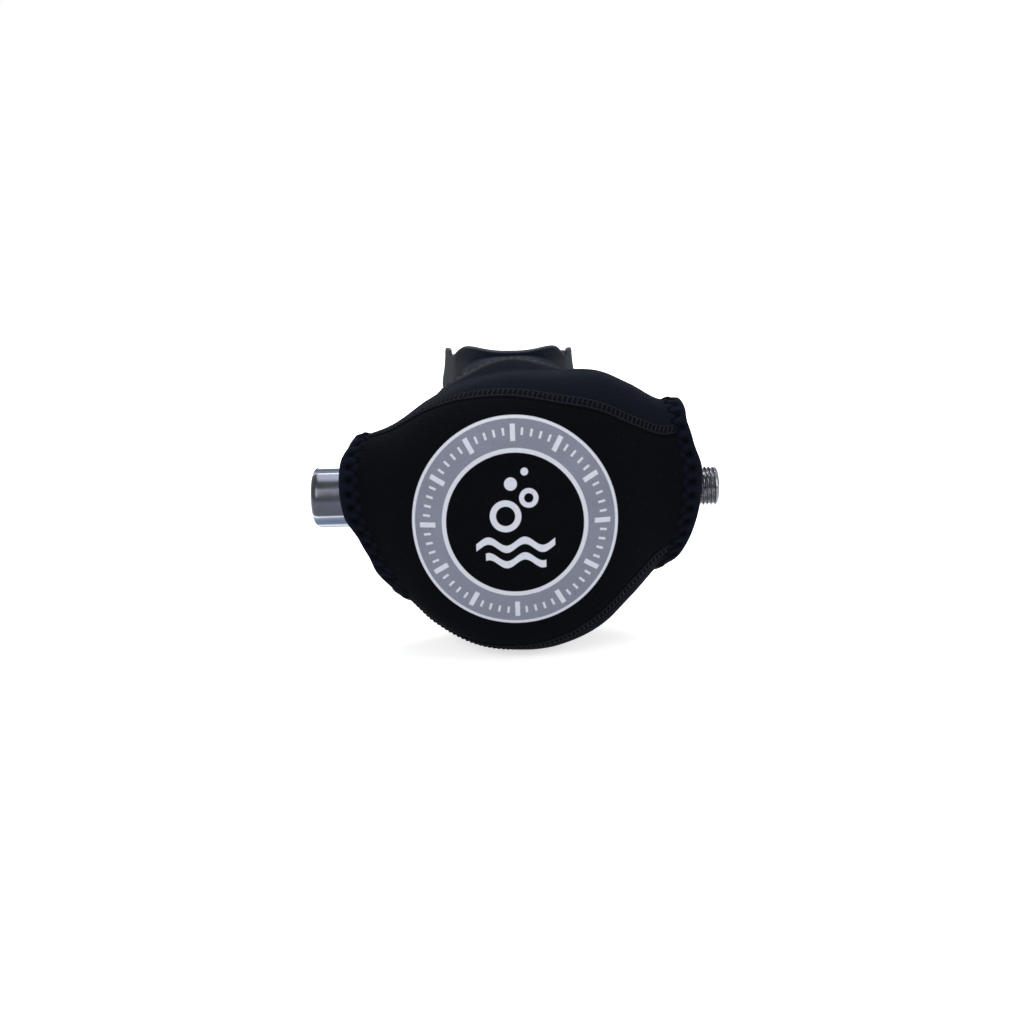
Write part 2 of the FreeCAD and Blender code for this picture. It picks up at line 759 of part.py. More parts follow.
def poppet():
    head_front = orifice_tip - seat_gap - seat_thickness + 1.4
    head_back = head_front - poppet_head_length
    nut_end = washer_face() - washer_thickness - locknut_length
    body = revolve_x(
        [
            (head_front, 0),
            (head_front, poppet_head_radius - 0.4),
            (head_front - 0.4, poppet_head_radius),
            (head_back + 1.2, poppet_head_radius),
            (head_back, poppet_head_radius - 1.2),
            (head_back, poppet_stem_radius),
            (nut_end, poppet_stem_radius),
            (nut_end, poppet_tail_radius),
            (poppet_tail_end + 0.5, poppet_tail_radius),
            (poppet_tail_end, poppet_tail_radius - 0.5),
            (poppet_tail_end, 0),
        ]
    )
    body = body.cut(cylinder_x(seat_radius + 0.05, head_front - 1.4, head_front + BEYOND))
    for k in range(4):
        flute = cylinder_x(1.5, head_back - BEYOND, head_front + BEYOND, 0, poppet_head_radius + 0.4)
        flute.rotate(Vector(), AXIS_X, 45 + k * 90)
        body = body.cut(flute)
    return body


def poppet_seat():
    back = orifice_tip - seat_gap - seat_thickness
    return cylinder_x(seat_radius, back, back + seat_thickness)


def washer_face():
    """The washer's near face, a little way behind the lever's feet."""
    return lever_pivot_x - lever_foot_thickness / 2 - 0.15


def poppet_washer():
    face = washer_face()
    ring = cylinder_x(washer_radius, face - washer_thickness, face)
    return ring.cut(cylinder_x(poppet_stem_radius + 0.05, face - 3, face + 1))


def poppet_locknut():
    face = washer_face() - washer_thickness
    nut = hexagon_x(locknut_across_flats, face - locknut_length, face)
    return nut.cut(cylinder_x(poppet_stem_radius + 0.05, face - locknut_length - 1, face + 1))


def main_spring():
    start = adjuster_front
    end = washer_face() - washer_thickness - locknut_length
    coil = coil_spring(main_spring_radius, main_spring_radius, spring_wire, end - start, main_spring_turns)
    coil.rotate(Vector(), AXIS_Y, 90)
    coil.translate(Vector(start, 0, 0))
    return coil


# Knob end
def spring_adjuster():
    back = adjuster_front - adjuster_length
    outer = barrel_bore - running_gap
    body = cylinder_x(outer, back, adjuster_front)
    body = body.makeChamfer(adjuster_chamfer, edges_on_circle(body, outer, adjuster_front, AXIS_X))
    key = block(back, adjuster_front - 1.0, 4.0, barrel_bore + 0.8, -key_width / 2, key_width / 2)
    body = body.fuse(key)
    socket = balance_plug_radius + 0.05
    body = body.cut(cylinder_x(socket, adjuster_front - balance_plug_seat, adjuster_front + BEYOND))
    return body.cut(cylinder_x(spindle_radius + running_gap, back - BEYOND, adjuster_front - 3.0))


def balance_plug():
    """The chamber that the poppet's tail slides in, so that line pressure balances itself."""
    end = adjuster_front + 3.4
    plug = cylinder_x(balance_plug_radius, adjuster_front - balance_plug_seat, end)
    return plug.cut(cylinder_x(poppet_tail_radius + running_gap, adjuster_front - 2.6, end + BEYOND))


def knob_spindle():
    front = adjuster_front - 5.2
    collar_start = barrel_left_end + 0.9
    tip = knob_outer_end + knob_end_wall
    spindle = revolve_x(
        [
            (front, 0),
            (front, spindle_radius - 0.5),
            (front - 0.5, spindle_radius),
            (collar_start + spindle_collar_thickness + 1.6, spindle_radius),
            (collar_start + spindle_collar_thickness + 1.6, spindle_collar_radius),
            (collar_start + 1.6, spindle_collar_radius),
            (collar_start + 1.6, spindle_neck_radius),
            (tip, spindle_neck_radius),
            (tip, 0),
        ]
    )
    return spindle


def spindle_gland():
    """The ring screwed into the barrel's end that keeps the spindle's collar in."""
    outer = barrel_bore - 0.05
    start = barrel_left_end
    hole = cylinder_x(spindle_neck_radius + running_gap, start - BEYOND, start + 4)
    return cylinder_x(outer, start, start + 2.4).cut(hole)


def adjusting_knob():
    """A turned knob with a rounded outer end and shallow finger flutes round its grip."""
    end_round = [(x, radius) for radius, x in corner_round(knob_radius, knob_outer_end, knob_round, -1)]
    knob = revolve_x(
        [
            (knob_outer_end, 0),
            *reversed(end_round),
            (knob_inner_end - 0.5, knob_radius),
            (knob_inner_end, knob_radius - 0.5),
            (knob_inner_end, 0),
        ]
    )
    centre = knob_radius + knob_flute_radius - knob_flute_depth
    flute_end = knob_outer_end + 0.8 * knob_length
    for k in range(knob_flute_count):
        flute = cylinder_x(knob_flute_radius, knob_outer_end - BEYOND, flute_end)
        flute.translate(Vector(0, 0, centre))
        flute.rotate(Vector(), AXIS_X, knob_flute_turn + k * 360 / knob_flute_count)
        knob = knob.cut(flute)
    cavity_start = knob_inner_end - knob_cavity_depth
    knob = knob.cut(cylinder_x(knob_cavity_radius, cavity_start, knob_inner_end + BEYOND))
    knob = knob.cut(cylinder_x(spindle_neck_radius + 0.05, knob_outer_end + knob_end_wall, knob_inner_end))
    recess_depth = knob_cap_thickness + 0.1
    recess = cylinder_x(knob_cap_radius + 0.1, knob_outer_end - BEYOND, knob_outer_end + recess_depth)
    return knob.cut(recess)


def knob_cap():
    start = knob_outer_end + 0.1
    return cylinder_x(knob_cap_radius, start, start + knob_cap_thickness)


# Exhaust
def exhaust_valve():
    seat = case_back + 0.05
    centre = exhaust_centre_z
    disc = revolve_y(
        [
            (0, seat),
            (exhaust_disc_radius, seat),
            (exhaust_disc_radius, seat + exhaust_disc_thickness * 0.5),
            (8.0, seat + exhaust_disc_thickness),
            (3.4, seat + exhaust_disc_thickness + 0.5),
            (0, seat + exhaust_disc_thickness + 0.8),
        ],
        centre,
    )
    stem = cylinder_y(valve_stem_radius, seat - case_wall - 0.4, seat, z=centre)
    barb = revolve_y([(0, seat - 6.0), (1.2, seat - 6.0), (3.0, seat - 2.5), (0, seat - 2.5)], centre)
    return disc.fuse([stem, barb]).removeSplitter()


def tee_duct(inset):
    """The wings: ovals lofted along X that droop and swing back toward their ends."""
    overrun = BEYOND if inset else 0.0
    end_tall = 13.0
    stations = (
        (-tee_reach - overrun, 40.0, tee_foot + end_tall, 10.0, end_tall),
        (-tee_reach * 0.55, 34.5, -35.5, 9.2, 14.5),
        (0.0, 30.5, -26.5, 9.8, 17.5),
        (tee_reach * 0.55, 34.5, -35.5, 9.2, 14.5),
        (tee_reach + overrun, 40.0, tee_foot + end_tall, 10.0, end_tall),
    )
    wires = []
    for x, y, z, half_deep, half_tall in stations:
        points = superellipse(half_deep - inset, half_tall - inset, 2.3)
        wires.append(closed_spline([Vector(x, y + dy, z + dz) for dy, dz in points]))
    return Part.makeLoft(wires, True)


def exhaust_tee():
    """A soft hood that carries bubbles from the valve out past both cheeks."""
    socket_radius = exhaust_collar_radius + mouthpiece_gap
    start = case_back + 0.8
    seat = case_back + exhaust_collar_height + 0.4
    socket = cylinder_y(socket_radius + tee_wall, start, tee_socket_end, z=exhaust_centre_z)
    bore = cylinder_y(socket_radius, start - BEYOND, seat, z=exhaust_centre_z)
    throat = cylinder_y(socket_radius - 2.6, start, tee_socket_end, z=exhaust_centre_z)
    hood = tee_duct(0).fuse(socket)
    hood = hood.cut(tee_duct(tee_wall))
    hood = hood.cut(bore).cut(throat)
    half = tee_fin_thickness / 2
    low, high = exhaust_centre_z - socket_radius - 2, exhaust_centre_z + socket_radius - 2
    fin = block(-half, half, tee_socket_end - 2, tee_socket_end + 10.5, low, high)
    hood = hood.fuse(fin.common(tee_duct(tee_wall * 0.5)))
    return hood.removeSplitter()


# Mouthpiece
def shield_outline(depth):
    """The lip shield seen from the mouth: a frenum dip above and below, and relief notches."""
    half_width = shield_width / 2
    half_height = shield_height / 2
    notch_x = half_width - 4.2
    upper = [
        (half_width, 0.0),
        (half_width - 0.4, half_height - 3.5),
        (half_width - 1.6, half_height - 1.2),
        (half_width - 3.2, half_height - 1.0),
        (notch_x, half_height - 3.6),
        (notch_x - 3.4, half_height - 0.6),
        (notch_x - 6.5, half_height),
        (notch_x - 11.0, half_height - 1.2),
        (0.0, half_height - 3.2),
    ]
    left_upper = [(-x, z) for x, z in reversed(upper[:-1])]
    lower = [(x, -z) for x, z in reversed(upper[:-1])]
    left_lower = [(-x, -z) for x, z in upper[1:]]
    ring = upper + left_upper + left_lower + lower[:-1]
    points = [Vector(x, depth, z) for x, z in ring]
    return Part.makePolygon(points + points[:1])


def lip_shield():
    thickness = shield_thickness
    sweep_centre = shield_face - shield_thickness - 1.0 + shield_sweep_radius
    outer = cylinder_z(shield_sweep_radius, -30, 30, 0, sweep_centre)
    inner = cylinder_z(shield_sweep_radius - thickness, -31, 31, 0, sweep_centre)
    sheet = outer.cut(inner)
    blank = Part.Face(shield_outline(shield_face - 12)).extrude(Vector(0, 34, 0))
    return sheet.common(blank)


def rounded_slab(x0, x1, y0, y1, z0, z1, radius):
    """A slab with its four upright edges rounded."""
    slab = block(x0, x1, y0, y1, z0, z1)
    return slab.makeFillet(radius, [e for e in slab.Edges if abs(e.tangentAt(0).z) > 0.9])


def bite_tabs():
    """Two grips for the teeth, each a soft tongue with a raised rim along its inner and far edges."""
    tabs = []
    start = shield_face - 3.0
    end = shield_face + bite_length
    lug = bite_lug_height / 2
    for side in (-1, 1):
        x0 = side * bite_centre_x - bite_width / 2
        x1 = side * bite_centre_x + bite_width / 2
        tongue = rounded_slab(x0, x1, start, end, -bite_thickness / 2, bite_thickness / 2, 2.2)
        rim = rounded_slab(x0, x1, end - 13.0, end, -lug, lug, 2.2)
        hollow_x0, hollow_x1 = sorted((side * bite_centre_x - side * (bite_width / 2 - 2.4), side * 40))
        hollow = block(hollow_x0, hollow_x1, end - 20.0, end - bite_lug_thickness, -lug - 1, lug + 1)
        tabs.extend([tongue, rim.cut(hollow)])
    return tabs


def mouthpiece():
    """A soft sleeve that grips the mouth tube and flares to the lip shield and its bite tabs."""
    fit_width = mouth_tube_width + 2 * mouthpiece_gap
    fit_height = mouth_tube_height + 2 * mouthpiece_gap
    neck_width = fit_width + 2 * mouthpiece_wall
    neck_height = fit_height + 2 * mouthpiece_wall
    sleeve = oval_prism(neck_width, neck_height, neck_start, neck_end)
    taper = Part.makeLoft(
        [
            oval_xz(neck_width, neck_height, neck_end),
            oval_xz(neck_width - 4.5, neck_height - 5.0, neck_taper_end),
            oval_xz(neck_width - 5.5, neck_height - 7.0, (neck_taper_end + shield_face) / 2),
            oval_xz(neck_width - 1.0, neck_height - 5.0, shield_face - 4.0),
            oval_xz(neck_width + 1.0, neck_height - 4.0, shield_face - 1.0),
        ],
        True,
    )
    sweep_centre = shield_face - shield_thickness - 1.0 + shield_sweep_radius
    behind_shield = cylinder_z(shield_sweep_radius - shield_thickness / 2, -31, 31, 0, sweep_centre)
    taper = taper.cut(behind_shield)
    body = sleeve.fuse([taper, lip_shield()])
    body = body.fuse(bite_tabs())
    groove = oval_prism(neck_width + 4, neck_height + 4, tie_station, tie_station + tie_width)
    core = oval_prism(neck_width - 2 * tie_groove_depth, neck_height - 2 * tie_groove_depth, 0, 40)
    body = body.cut(groove.cut(core))
    lip_start = mouth_tube_length - 2.6
    lip = 2 * mouth_tube_lip + 0.1
    seat = oval_prism(fit_width, fit_height, neck_start - BEYOND, lip_start)
    lip_seat = oval_prism(fit_width + lip, fit_height + lip, lip_start, mouth_tube_length + 0.3)
    tube_bore_width = mouth_tube_width - 2 * mouth_tube_wall
    tube_bore_height = mouth_tube_height - 2 * mouth_tube_wall
    bore = Part.makeLoft(
        [
            oval_xz(tube_bore_width, tube_bore_height, mouth_tube_length),
            oval_xz(bore_width + 1, bore_height + 1, neck_taper_end + 4),
            oval_xz(bore_width, bore_height, shield_face + 8),
        ],
        True,
    )
    body = body.cut(seat).cut(lip_seat).cut(bore)
    return on_mouth_axis(body)


def mouthpiece_tie():
    """A cable tie in the sleeve's groove, with its head on top."""
    fit_width = mouth_tube_width + 2 * mouthpiece_gap
    fit_height = mouth_tube_height + 2 * mouthpiece_gap
    seat_width = fit_width + 2 * mouthpiece_wall - 2 * tie_groove_depth + 0.1
    seat_height = fit_height + 2 * mouthpiece_wall - 2 * tie_groove_depth + 0.1
    near = tie_station + 0.2
    far = tie_station + tie_width - 0.2
    band = oval_prism(seat_width + 2 * tie_thickness, seat_height + 2 * tie_thickness, near, far)
    band = band.cut(oval_prism(seat_width, seat_height, near - 1, far + 1))
    top = seat_height / 2
    head = block(9.0, 14.5, near - 0.6, far + 0.6, top - 1.2, top + 3.4)
    head = head.cut(oval_prism(seat_width, seat_height, near - 2, far + 2))
    sleeve_width = fit_width + 2 * mouthpiece_wall + 0.2
    sleeve_height = fit_height + 2 * mouthpiece_wall + 0.2
    head = head.cut(oval_prism(sleeve_width, sleeve_height, 0, near))
    head = head.cut(oval_prism(sleeve_width, sleeve_height, far, neck_end))
    return on_mouth_axis(band.fuse(head))


# Neoprene cover
def brow_lift(x, across, up):
    """How much of the brow's lift a section point gets, from 0 to 1."""
    corner = max(0.0, across) * max(0.0, up)
    share = min(1.0, max(0.0, (corner - 0.25) / 0.35))
    return share * share * (3 - 2 * share) * exp(-(((x - brow_x) / brow_reach) ** 2))


def cover_loft(growth):
    """The cover's form as one smooth skin through its stations, grown or shrunk all round."""
    wires = []
    for x, top, bottom, front, back, power in cover_stations:
        half_deep = (back - front) / 2 + growth
        half_tall = (top - bottom) / 2 + growth
        mid_y = (front + back) / 2
        mid_z = (top + bottom) / 2
        points = []
        for across, up in superellipse(1.0, 1.0, power):
            lift = brow_lift(x, across, up)
            y = mid_y + half_deep * across + brow_back * lift
            points.append(Vector(x, y, mid_z + half_tall * up + brow_rise * lift))
        wires.append(closed_spline(points))
    return Part.makeLoft(wires, True)


def bowed_end(sleeve, inset, side):
    """The three points of a sleeve end's arc, pulled in along X by the inset."""
    x_end, radius, middle_z, low_z, high_z = sleeve

    def at(z):
        bow = radius - sqrt(radius ** 2 - (z - middle_z) ** 2)
        return Vector(x_end - side * (bow + inset), 0, z)

    return at(low_z), at(middle_z), at(high_z)


def sleeve_trim(inset):
    """A slab across the cover whose two ends are the bowed cuts of the sleeves."""
    left_low, left_middle, left_high = bowed_end(left_sleeve, inset, -1)
    right_low, right_middle, right_high = bowed_end(right_sleeve, inset, 1)
    tall = 80.0
    corners = [
        right_high,
        Vector(right_high.x, 0, tall),
        Vector(left_high.x, 0, tall),
        left_high,
    ]
    lower = [
        left_low,
        Vector(left_low.x, 0, -tall),
        Vector(right_low.x, 0, -tall),
        right_low,
    ]
    edges = [Part.Arc(right_low, right_middle, right_high).toShape()]
    edges += [Part.LineSegment(a, b).toShape() for a, b in zip(corners, corners[1:])]
    edges.append(Part.Arc(left_high, left_middle, left_low).toShape())
    edges += [Part.LineSegment(a, b).toShape() for a, b in zip(lower, lower[1:])]
    face = Part.Face(Part.Wire(edges))
    face.translate(Vector(0, -60, 0))
    return face.extrude(Vector(0, 120, 0))


def ahead_of_seam():
    """Everything in front of the seam line that joins the face panel to the side panels."""
    low = -80.0
    bow = Part.Arc(*[Vector(x, y, low) for x, y in seam_points])
    start, end = bow.toShape().Vertexes[0].Point, bow.toShape().Vertexes[-1].Point
    left_slope, right_slope = bow.tangent(bow.FirstParameter)[0], bow.tangent(bow.LastParameter)[0]
    reach = 25.0
    left_far = start - left_slope * reach
    right_far = end + right_slope * reach
    corners = [end, right_far, Vector(right_far.x, -60, low), Vector(left_far.x, -60, low), left_far, start]
    edges = [bow.toShape()] + [Part.LineSegment(a, b).toShape() for a, b in zip(corners, corners[1:])]
    return Part.Face(Part.Wire(edges)).extrude(Vector(0, 0, 160))


def back_opening(growth):
    wire = closed_spline(
        [
            Vector(x, 0, opening_centre_z + z)
            for x, z in superellipse(opening_half_width + growth, opening_half_height + growth, 2.2)
        ]
    )
    return Part.Face(wire).extrude(Vector(0, 40, 0))


def neoprene_cover():
    """The sewn panels, the two folded sleeve hems and the binding round the back opening."""
    outside = cover_loft(0.0)
    inside = cover_loft(-neoprene)
    opening = back_opening(0.0)
    panels_trim = sleeve_trim(hem_width)
    shell = outside.cut(inside).cut(opening)
    panels = shell.common(panels_trim)
    front = ahead_of_seam()
    face_panel = panels.common(front)
    sides = panels.cut(front)
    upper_half = block(-90, 90, -60, 60, 4.0, 90)
    top_panel = sides.common(upper_half)
    bottom_panel = sides.cut(upper_half)
    hem_shell = cover_loft(hem_growth).cut(inside)
    hems = hem_shell.common(sleeve_trim(0.0)).cut(panels_trim)
    left_hem = hems.common(block(-90, 0, -60, 60, -80, 80))
    right_hem = hems.common(block(0, 90, -60, 60, -80, 80))
    binding = cover_loft(binding_thickness).cut(outside)
    binding = binding.common(back_opening(binding_width)).cut(opening)
    return face_panel, top_panel, bottom_panel, left_hem, right_hem, binding


def add(name, shape):
    nodes[name] = shape if isinstance(shape, Part.Compound) else Part.makeCompound(as_list(shape))


def as_list(shape):
    return list(shape) if isinstance(shape, (list, tuple)) else [shape]


def build():
    add("case", case())
    add("front_cover", front_cover())
    add("clamp_ring", clamp_ring())
    add("clamp_screw", clamp_screw())
    add("diaphragm", diaphragm())
    add("diaphragm_plate", diaphragm_plate())
    add("purge_button", purge_button())
    add("purge_spring", purge_spring())
    add("air_barrel", barrel_seal_grooves(air_barrel()))
    add("air_deflector", air_deflector())
    add("barrel_seals", barrel_seals())
    add("barrel_nut", barrel_nut())
    add("inlet_fitting", inlet_fitting())
    add("orifice", orifice())
    add("orifice_seal", orifice_seal())
    add("demand_lever", demand_lever())
    add("poppet", poppet())
    add("poppet_seat", poppet_seat())
    add("poppet_washer", poppet_washer())
    add("poppet_locknut", poppet_locknut())
    add("main_spring", main_spring())
    add("spring_adjuster", spring_adjuster())
    add("balance_plug", balance_plug())
    add("knob_spindle", knob_spindle())
    add("spindle_gland", spindle_gland())
    add("adjusting_knob", adjusting_knob())
    add("knob_cap", knob_cap())
    add("exhaust_valve", exhaust_valve())
    add("exhaust_tee", exhaust_tee())
    add("mouthpiece", mouthpiece())
    add("mouthpiece_tie", mouthpiece_tie())
    face_panel, top_panel, bottom_panel, left_hem, right_hem, binding = neoprene_cover()
    add("cover_face_panel", face_panel)
    add("cover_top_panel", top_panel)
    add("cover_bottom_panel", bottom_panel)
    add("cover_left_hem", left_hem)
    add("cover_right_hem", right_hem)
    add("cover_back_binding", binding)


build()
os.makedirs("parts", exist_ok=True)
for name, shape in nodes.items():
    shape.translate(Vector(thread_length / 2 - inlet_end, 0, 0))
    shape.exportStep(os.path.join("parts", name + ".step"))
    print(name, "solids", len(shape.Solids), "valid", shape.isValid(), "volume", round(shape.Volume, 1))
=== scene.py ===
# %% [markdown]
# # A diving regulator's second stage in a stretch cover
#
# A second stage gives a diver air at each breath. This one wears a fitted neoprene cover, so only its chromed
# knob, the threaded inlet for the hose and the soft mouthpiece look out. The frame below is the measured model:
# every piece made here takes its place from it, and no measured piece is moved.

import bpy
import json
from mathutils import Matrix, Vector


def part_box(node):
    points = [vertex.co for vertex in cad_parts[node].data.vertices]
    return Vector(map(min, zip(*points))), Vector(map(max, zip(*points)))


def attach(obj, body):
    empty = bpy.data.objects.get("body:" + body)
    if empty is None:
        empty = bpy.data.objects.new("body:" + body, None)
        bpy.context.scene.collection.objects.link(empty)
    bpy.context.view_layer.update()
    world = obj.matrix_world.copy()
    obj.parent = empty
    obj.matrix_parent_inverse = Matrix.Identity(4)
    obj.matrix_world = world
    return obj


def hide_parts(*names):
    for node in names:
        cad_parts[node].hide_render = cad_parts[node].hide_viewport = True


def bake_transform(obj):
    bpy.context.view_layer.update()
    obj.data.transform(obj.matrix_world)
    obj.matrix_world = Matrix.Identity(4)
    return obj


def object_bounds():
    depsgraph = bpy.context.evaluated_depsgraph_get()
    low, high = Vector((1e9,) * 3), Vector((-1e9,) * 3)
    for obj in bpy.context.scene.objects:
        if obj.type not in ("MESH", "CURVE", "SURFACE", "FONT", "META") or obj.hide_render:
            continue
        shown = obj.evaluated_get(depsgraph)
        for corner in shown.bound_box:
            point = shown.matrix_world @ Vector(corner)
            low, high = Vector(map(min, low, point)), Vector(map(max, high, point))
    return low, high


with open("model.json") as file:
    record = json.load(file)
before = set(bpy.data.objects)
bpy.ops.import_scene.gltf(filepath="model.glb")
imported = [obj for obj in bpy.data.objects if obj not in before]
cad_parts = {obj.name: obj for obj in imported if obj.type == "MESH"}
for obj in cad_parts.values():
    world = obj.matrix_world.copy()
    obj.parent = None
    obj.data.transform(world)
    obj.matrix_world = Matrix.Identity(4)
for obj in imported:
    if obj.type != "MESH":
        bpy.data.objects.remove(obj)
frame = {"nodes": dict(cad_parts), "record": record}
cad_low, cad_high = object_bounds()

# %% Modules for curves, meshes and numbers
import json
from math import acos, atan2, ceil, copysign, cos, exp, hypot, pi, radians, sin, sqrt

import bmesh
import bpy
from mathutils import Matrix, Vector
from mathutils.noise import noise

# %% [markdown]
# ## A maker's ruler
#
# The frame counts in metres from the inlet's thread. The regulator is easier to think of from the middle of its
# round case, in millimetres: +X towards the hose, -Y out of the face, +Z up. Two functions turn one into the
# other, and everything below speaks millimetres from the middle of the case.

# %% Millimetres from the middle of the case
MM = 0.001
case_low, case_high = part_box("case")
case_x = (case_low.x + case_high.x) / 2 / MM


def place(x, y, z):
    """A point in millimetres from the middle of the case, as a point of the frame."""
    return Vector((x + case_x, y, z)) * MM


def measured(point):
    """A point of the frame, in millimetres from the middle of the case."""
    return point.x / MM - case_x, point.y / MM, point.z / MM


print("middle of the case at x", round(case_x, 3), "mm")

# %% [markdown]
# ## Meshes from grids
#
# Most pieces here are skins: a grid of points worked out from a formula, joined into quads. A grid can close on
# itself like a tube, and two grids sewn together along their border make a sheet with real thickness.

# %% Grids and shells


def grid_faces(rows, columns, wrap_rows=False, wrap_columns=False):
    """The quads of a grid whose points were added row by row."""
    faces = []
    for i in range(rows if wrap_rows else rows - 1):
        near, far = i * columns, (i + 1) % rows * columns
        for j in range(columns if wrap_columns else columns - 1):
            beside = (j + 1) % columns
            faces.append((near + j, near + beside, far + beside, far + j))
    return faces


def shell_faces(rows, columns):
    """The quads of a sheet with thickness: an outer grid, an inner one after it, and the strip between."""
    count = rows * columns
    outer = grid_faces(rows, columns)
    inner = [tuple(index + count for index in reversed(face)) for face in outer]
    border = list(range(columns))
    border += [i * columns + columns - 1 for i in range(1, rows)]
    border += [(rows - 1) * columns + j for j in reversed(range(columns - 1))]
    border += [i * columns for i in reversed(range(1, rows - 1))]
    strip = [(a, b, b + count, a + count) for a, b in zip(border, border[1:] + border[:1])]
    return outer + inner + strip


print("grids and shells can be made")

# %% New pieces


def in_scene(name, data):
    """A new object that holds the data, put in the scene."""
    thing = bpy.data.objects.new(name, data)
    bpy.context.scene.collection.objects.link(thing)
    return thing


def new_piece(name, points, faces, finish, sharp_degrees=40):
    """A mesh object from points in millimetres, smooth but for its sharp corners, in one finish."""
    mesh = bpy.data.meshes.new(name)
    mesh.from_pydata([place(*point) for point in points], [], faces)
    mesh.validate()
    made = bmesh.new()
    made.from_mesh(mesh)
    bmesh.ops.recalc_face_normals(made, faces=made.faces)
    made.to_mesh(mesh)
    made.free()
    mesh.shade_smooth()
    mesh.set_sharp_from_angle(angle=radians(sharp_degrees))
    mesh.materials.append(finish)
    return in_scene(name, mesh)


def mark_points(piece, name, values):
    """A number for each of a mesh's points, that a finish can read by its name."""
    piece.data.attributes.new(name, "FLOAT", "POINT").data.foreach_set("value", values)


print("pieces can be made")

# %% Threads, and meshes put together


def tube_mesh(path, radius, sides, closed=False):
    """Points and quads of a round thread that follows a path of (place, outward) pairs."""
    points, count = [], len(path)
    for k, (here, outward) in enumerate(path):
        ahead = path[(k + 1) % count][0] if closed or k + 1 < count else here
        behind = path[k - 1][0] if closed or k > 0 else here
        along = (ahead - behind).normalized()
        across = along.cross(outward).normalized()
        up = across.cross(along).normalized()
        for j in range(sides):
            turn = 2 * pi * j / sides
            points.append(here + across * (radius * cos(turn)) + up * (radius * sin(turn)))
    faces = grid_faces(count, sides, closed, True)
    if not closed:
        faces += [tuple(reversed(range(sides))), tuple(range((count - 1) * sides, count * sides))]
    return points, faces


def merge_meshes(parts):
    """One list of points and one of faces from several (points, faces) pairs."""
    points, faces = [], []
    for some_points, some_faces in parts:
        start = len(points)
        points.extend(some_points)
        faces.extend(tuple(index + start for index in face) for face in some_faces)
    return points, faces


print("threads can be made")

# %% Blends and ovals


def blend_values(a, b, share):
    """The value that lies a share of the way from a to b."""
    return a + (b - a) * share


def smooth_step(low, high, value):
    """A smooth rise from 0 at low to 1 at high."""
    share = min(1.0, max(0.0, (value - low) / (high - low)))
    return share * share * (3 - 2 * share)


def oval(turn, power):
    """A point of an oval of size 1: with power 2 it is a circle, and higher powers give squarer ones."""
    c, s = cos(turn), sin(turn)
    reach = (abs(c) ** power + abs(s) ** power) ** (-1 / power)
    return reach * c, reach * s


print("a quarter of the way from 2 to 6 is", blend_values(2, 6, 0.25))

# %% [markdown]
# ## Camera, floor and light
#
# The regulator was seen from a little above and square to its face, turned slightly so that the hose side stands
# higher. A real floor lies under it. The floor and the world show white only to the camera, to mirrors and to
# glass, so the lamps never have to be turned up for the picture to have a white ground.

# %% Camera
camera_distance, camera_elevation, camera_roll = 400.0, radians(16.0), radians(1.7)
face_middle = (0.0, -28.7, -2.0)
pixels, pixels_left, pixels_down = 1024, 3.0, 6.5

camera_data = bpy.data.cameras.new("studio camera")
camera_data.sensor_width, camera_data.lens = 36.0, 41.13
camera_data.shift_x, camera_data.shift_y = -pixels_left / pixels, pixels_down / pixels
camera_data.clip_start, camera_data.clip_end = 0.01, 20.0
forward = Vector((0, cos(camera_elevation), -sin(camera_elevation)))
level_right = Vector((1, 0, 0))
level_up = level_right.cross(forward)
right = level_right * cos(camera_roll) - level_up * sin(camera_roll)
up = level_right * sin(camera_roll) + level_up * cos(camera_roll)
aim = Matrix((right, up, -forward)).transposed().to_4x4()
camera = in_scene("studio camera", camera_data)
camera.matrix_world = Matrix.Translation(place(*face_middle) - forward * camera_distance * MM) @ aim
bpy.context.scene.camera = camera
bpy.context.scene.view_settings.view_transform = "Standard"
print("camera at", [round(v, 3) for v in camera.matrix_world.translation])

# %% [markdown]
# ## Small helpers for node materials
#
# A finish is a tree of nodes. `add_node` sets a node's options and inputs in one call, where an input may be a
# number, a colour or another node's output. The sums and mixes below each add one node, in the tree of the value
# they start from. An effect that several finishes share is a node group with named sockets.

# %% Colours, links and nodes


def tone(red, green, blue):
    """A colour given on a 0 to 255 scale, as the linear colour that a shader takes."""
    shares = [value / 255 for value in (red, green, blue)]
    return *(s / 12.92 if s <= 0.04045 else ((s + 0.055) / 1.055) ** 2.4 for s in shares), 1.0


def join(value, socket):
    """A link from a node's output to a socket, or a fixed value in it."""
    if isinstance(value, bpy.types.NodeSocket):
        socket.id_data.links.new(value, socket)
    else:
        socket.default_value = value


def add_node(tree, kind, inputs=None, **options):
    """A shader node with its options and inputs set."""
    node = tree.nodes.new("ShaderNode" + kind)
    for key, value in options.items():
        setattr(node, key, value)
    for key, value in (inputs or {}).items():
        join(value, node.inputs[key])
    return node


print("mid grey is", [round(value, 3) for value in tone(128, 128, 128)])

# %% Sums, masks and mixes


def calc(operation, first, second=0.0, clamp=False):
    """The result of a math node; at least one of its values is another node's output."""
    tree = (first if isinstance(first, bpy.types.NodeSocket) else second).id_data
    return add_node(tree, "Math", {0: first, 1: second}, operation=operation, use_clamp=clamp).outputs[0]


def times(first, second, clamp=False):
    return calc("MULTIPLY", first, second, clamp)


def plus(first, second, clamp=False):
    return calc("ADD", first, second, clamp)


def minus(first, second):
    return calc("SUBTRACT", first, second)


def ramp(value, low, high, start=0.0, end=1.0):
    """The value's way from low to high, as a way from start to end; it stays at either outside them."""
    return add_node(value.id_data, "MapRange", {0: value, 1: low, 2: high, 3: start, 4: end}).outputs[0]


def band_mask(value, low, high, soft):
    """1 where the value lies between low and high, with soft edges."""
    return times(ramp(value, low - soft, low + soft), ramp(value, high - soft, high + soft, 1.0, 0.0))


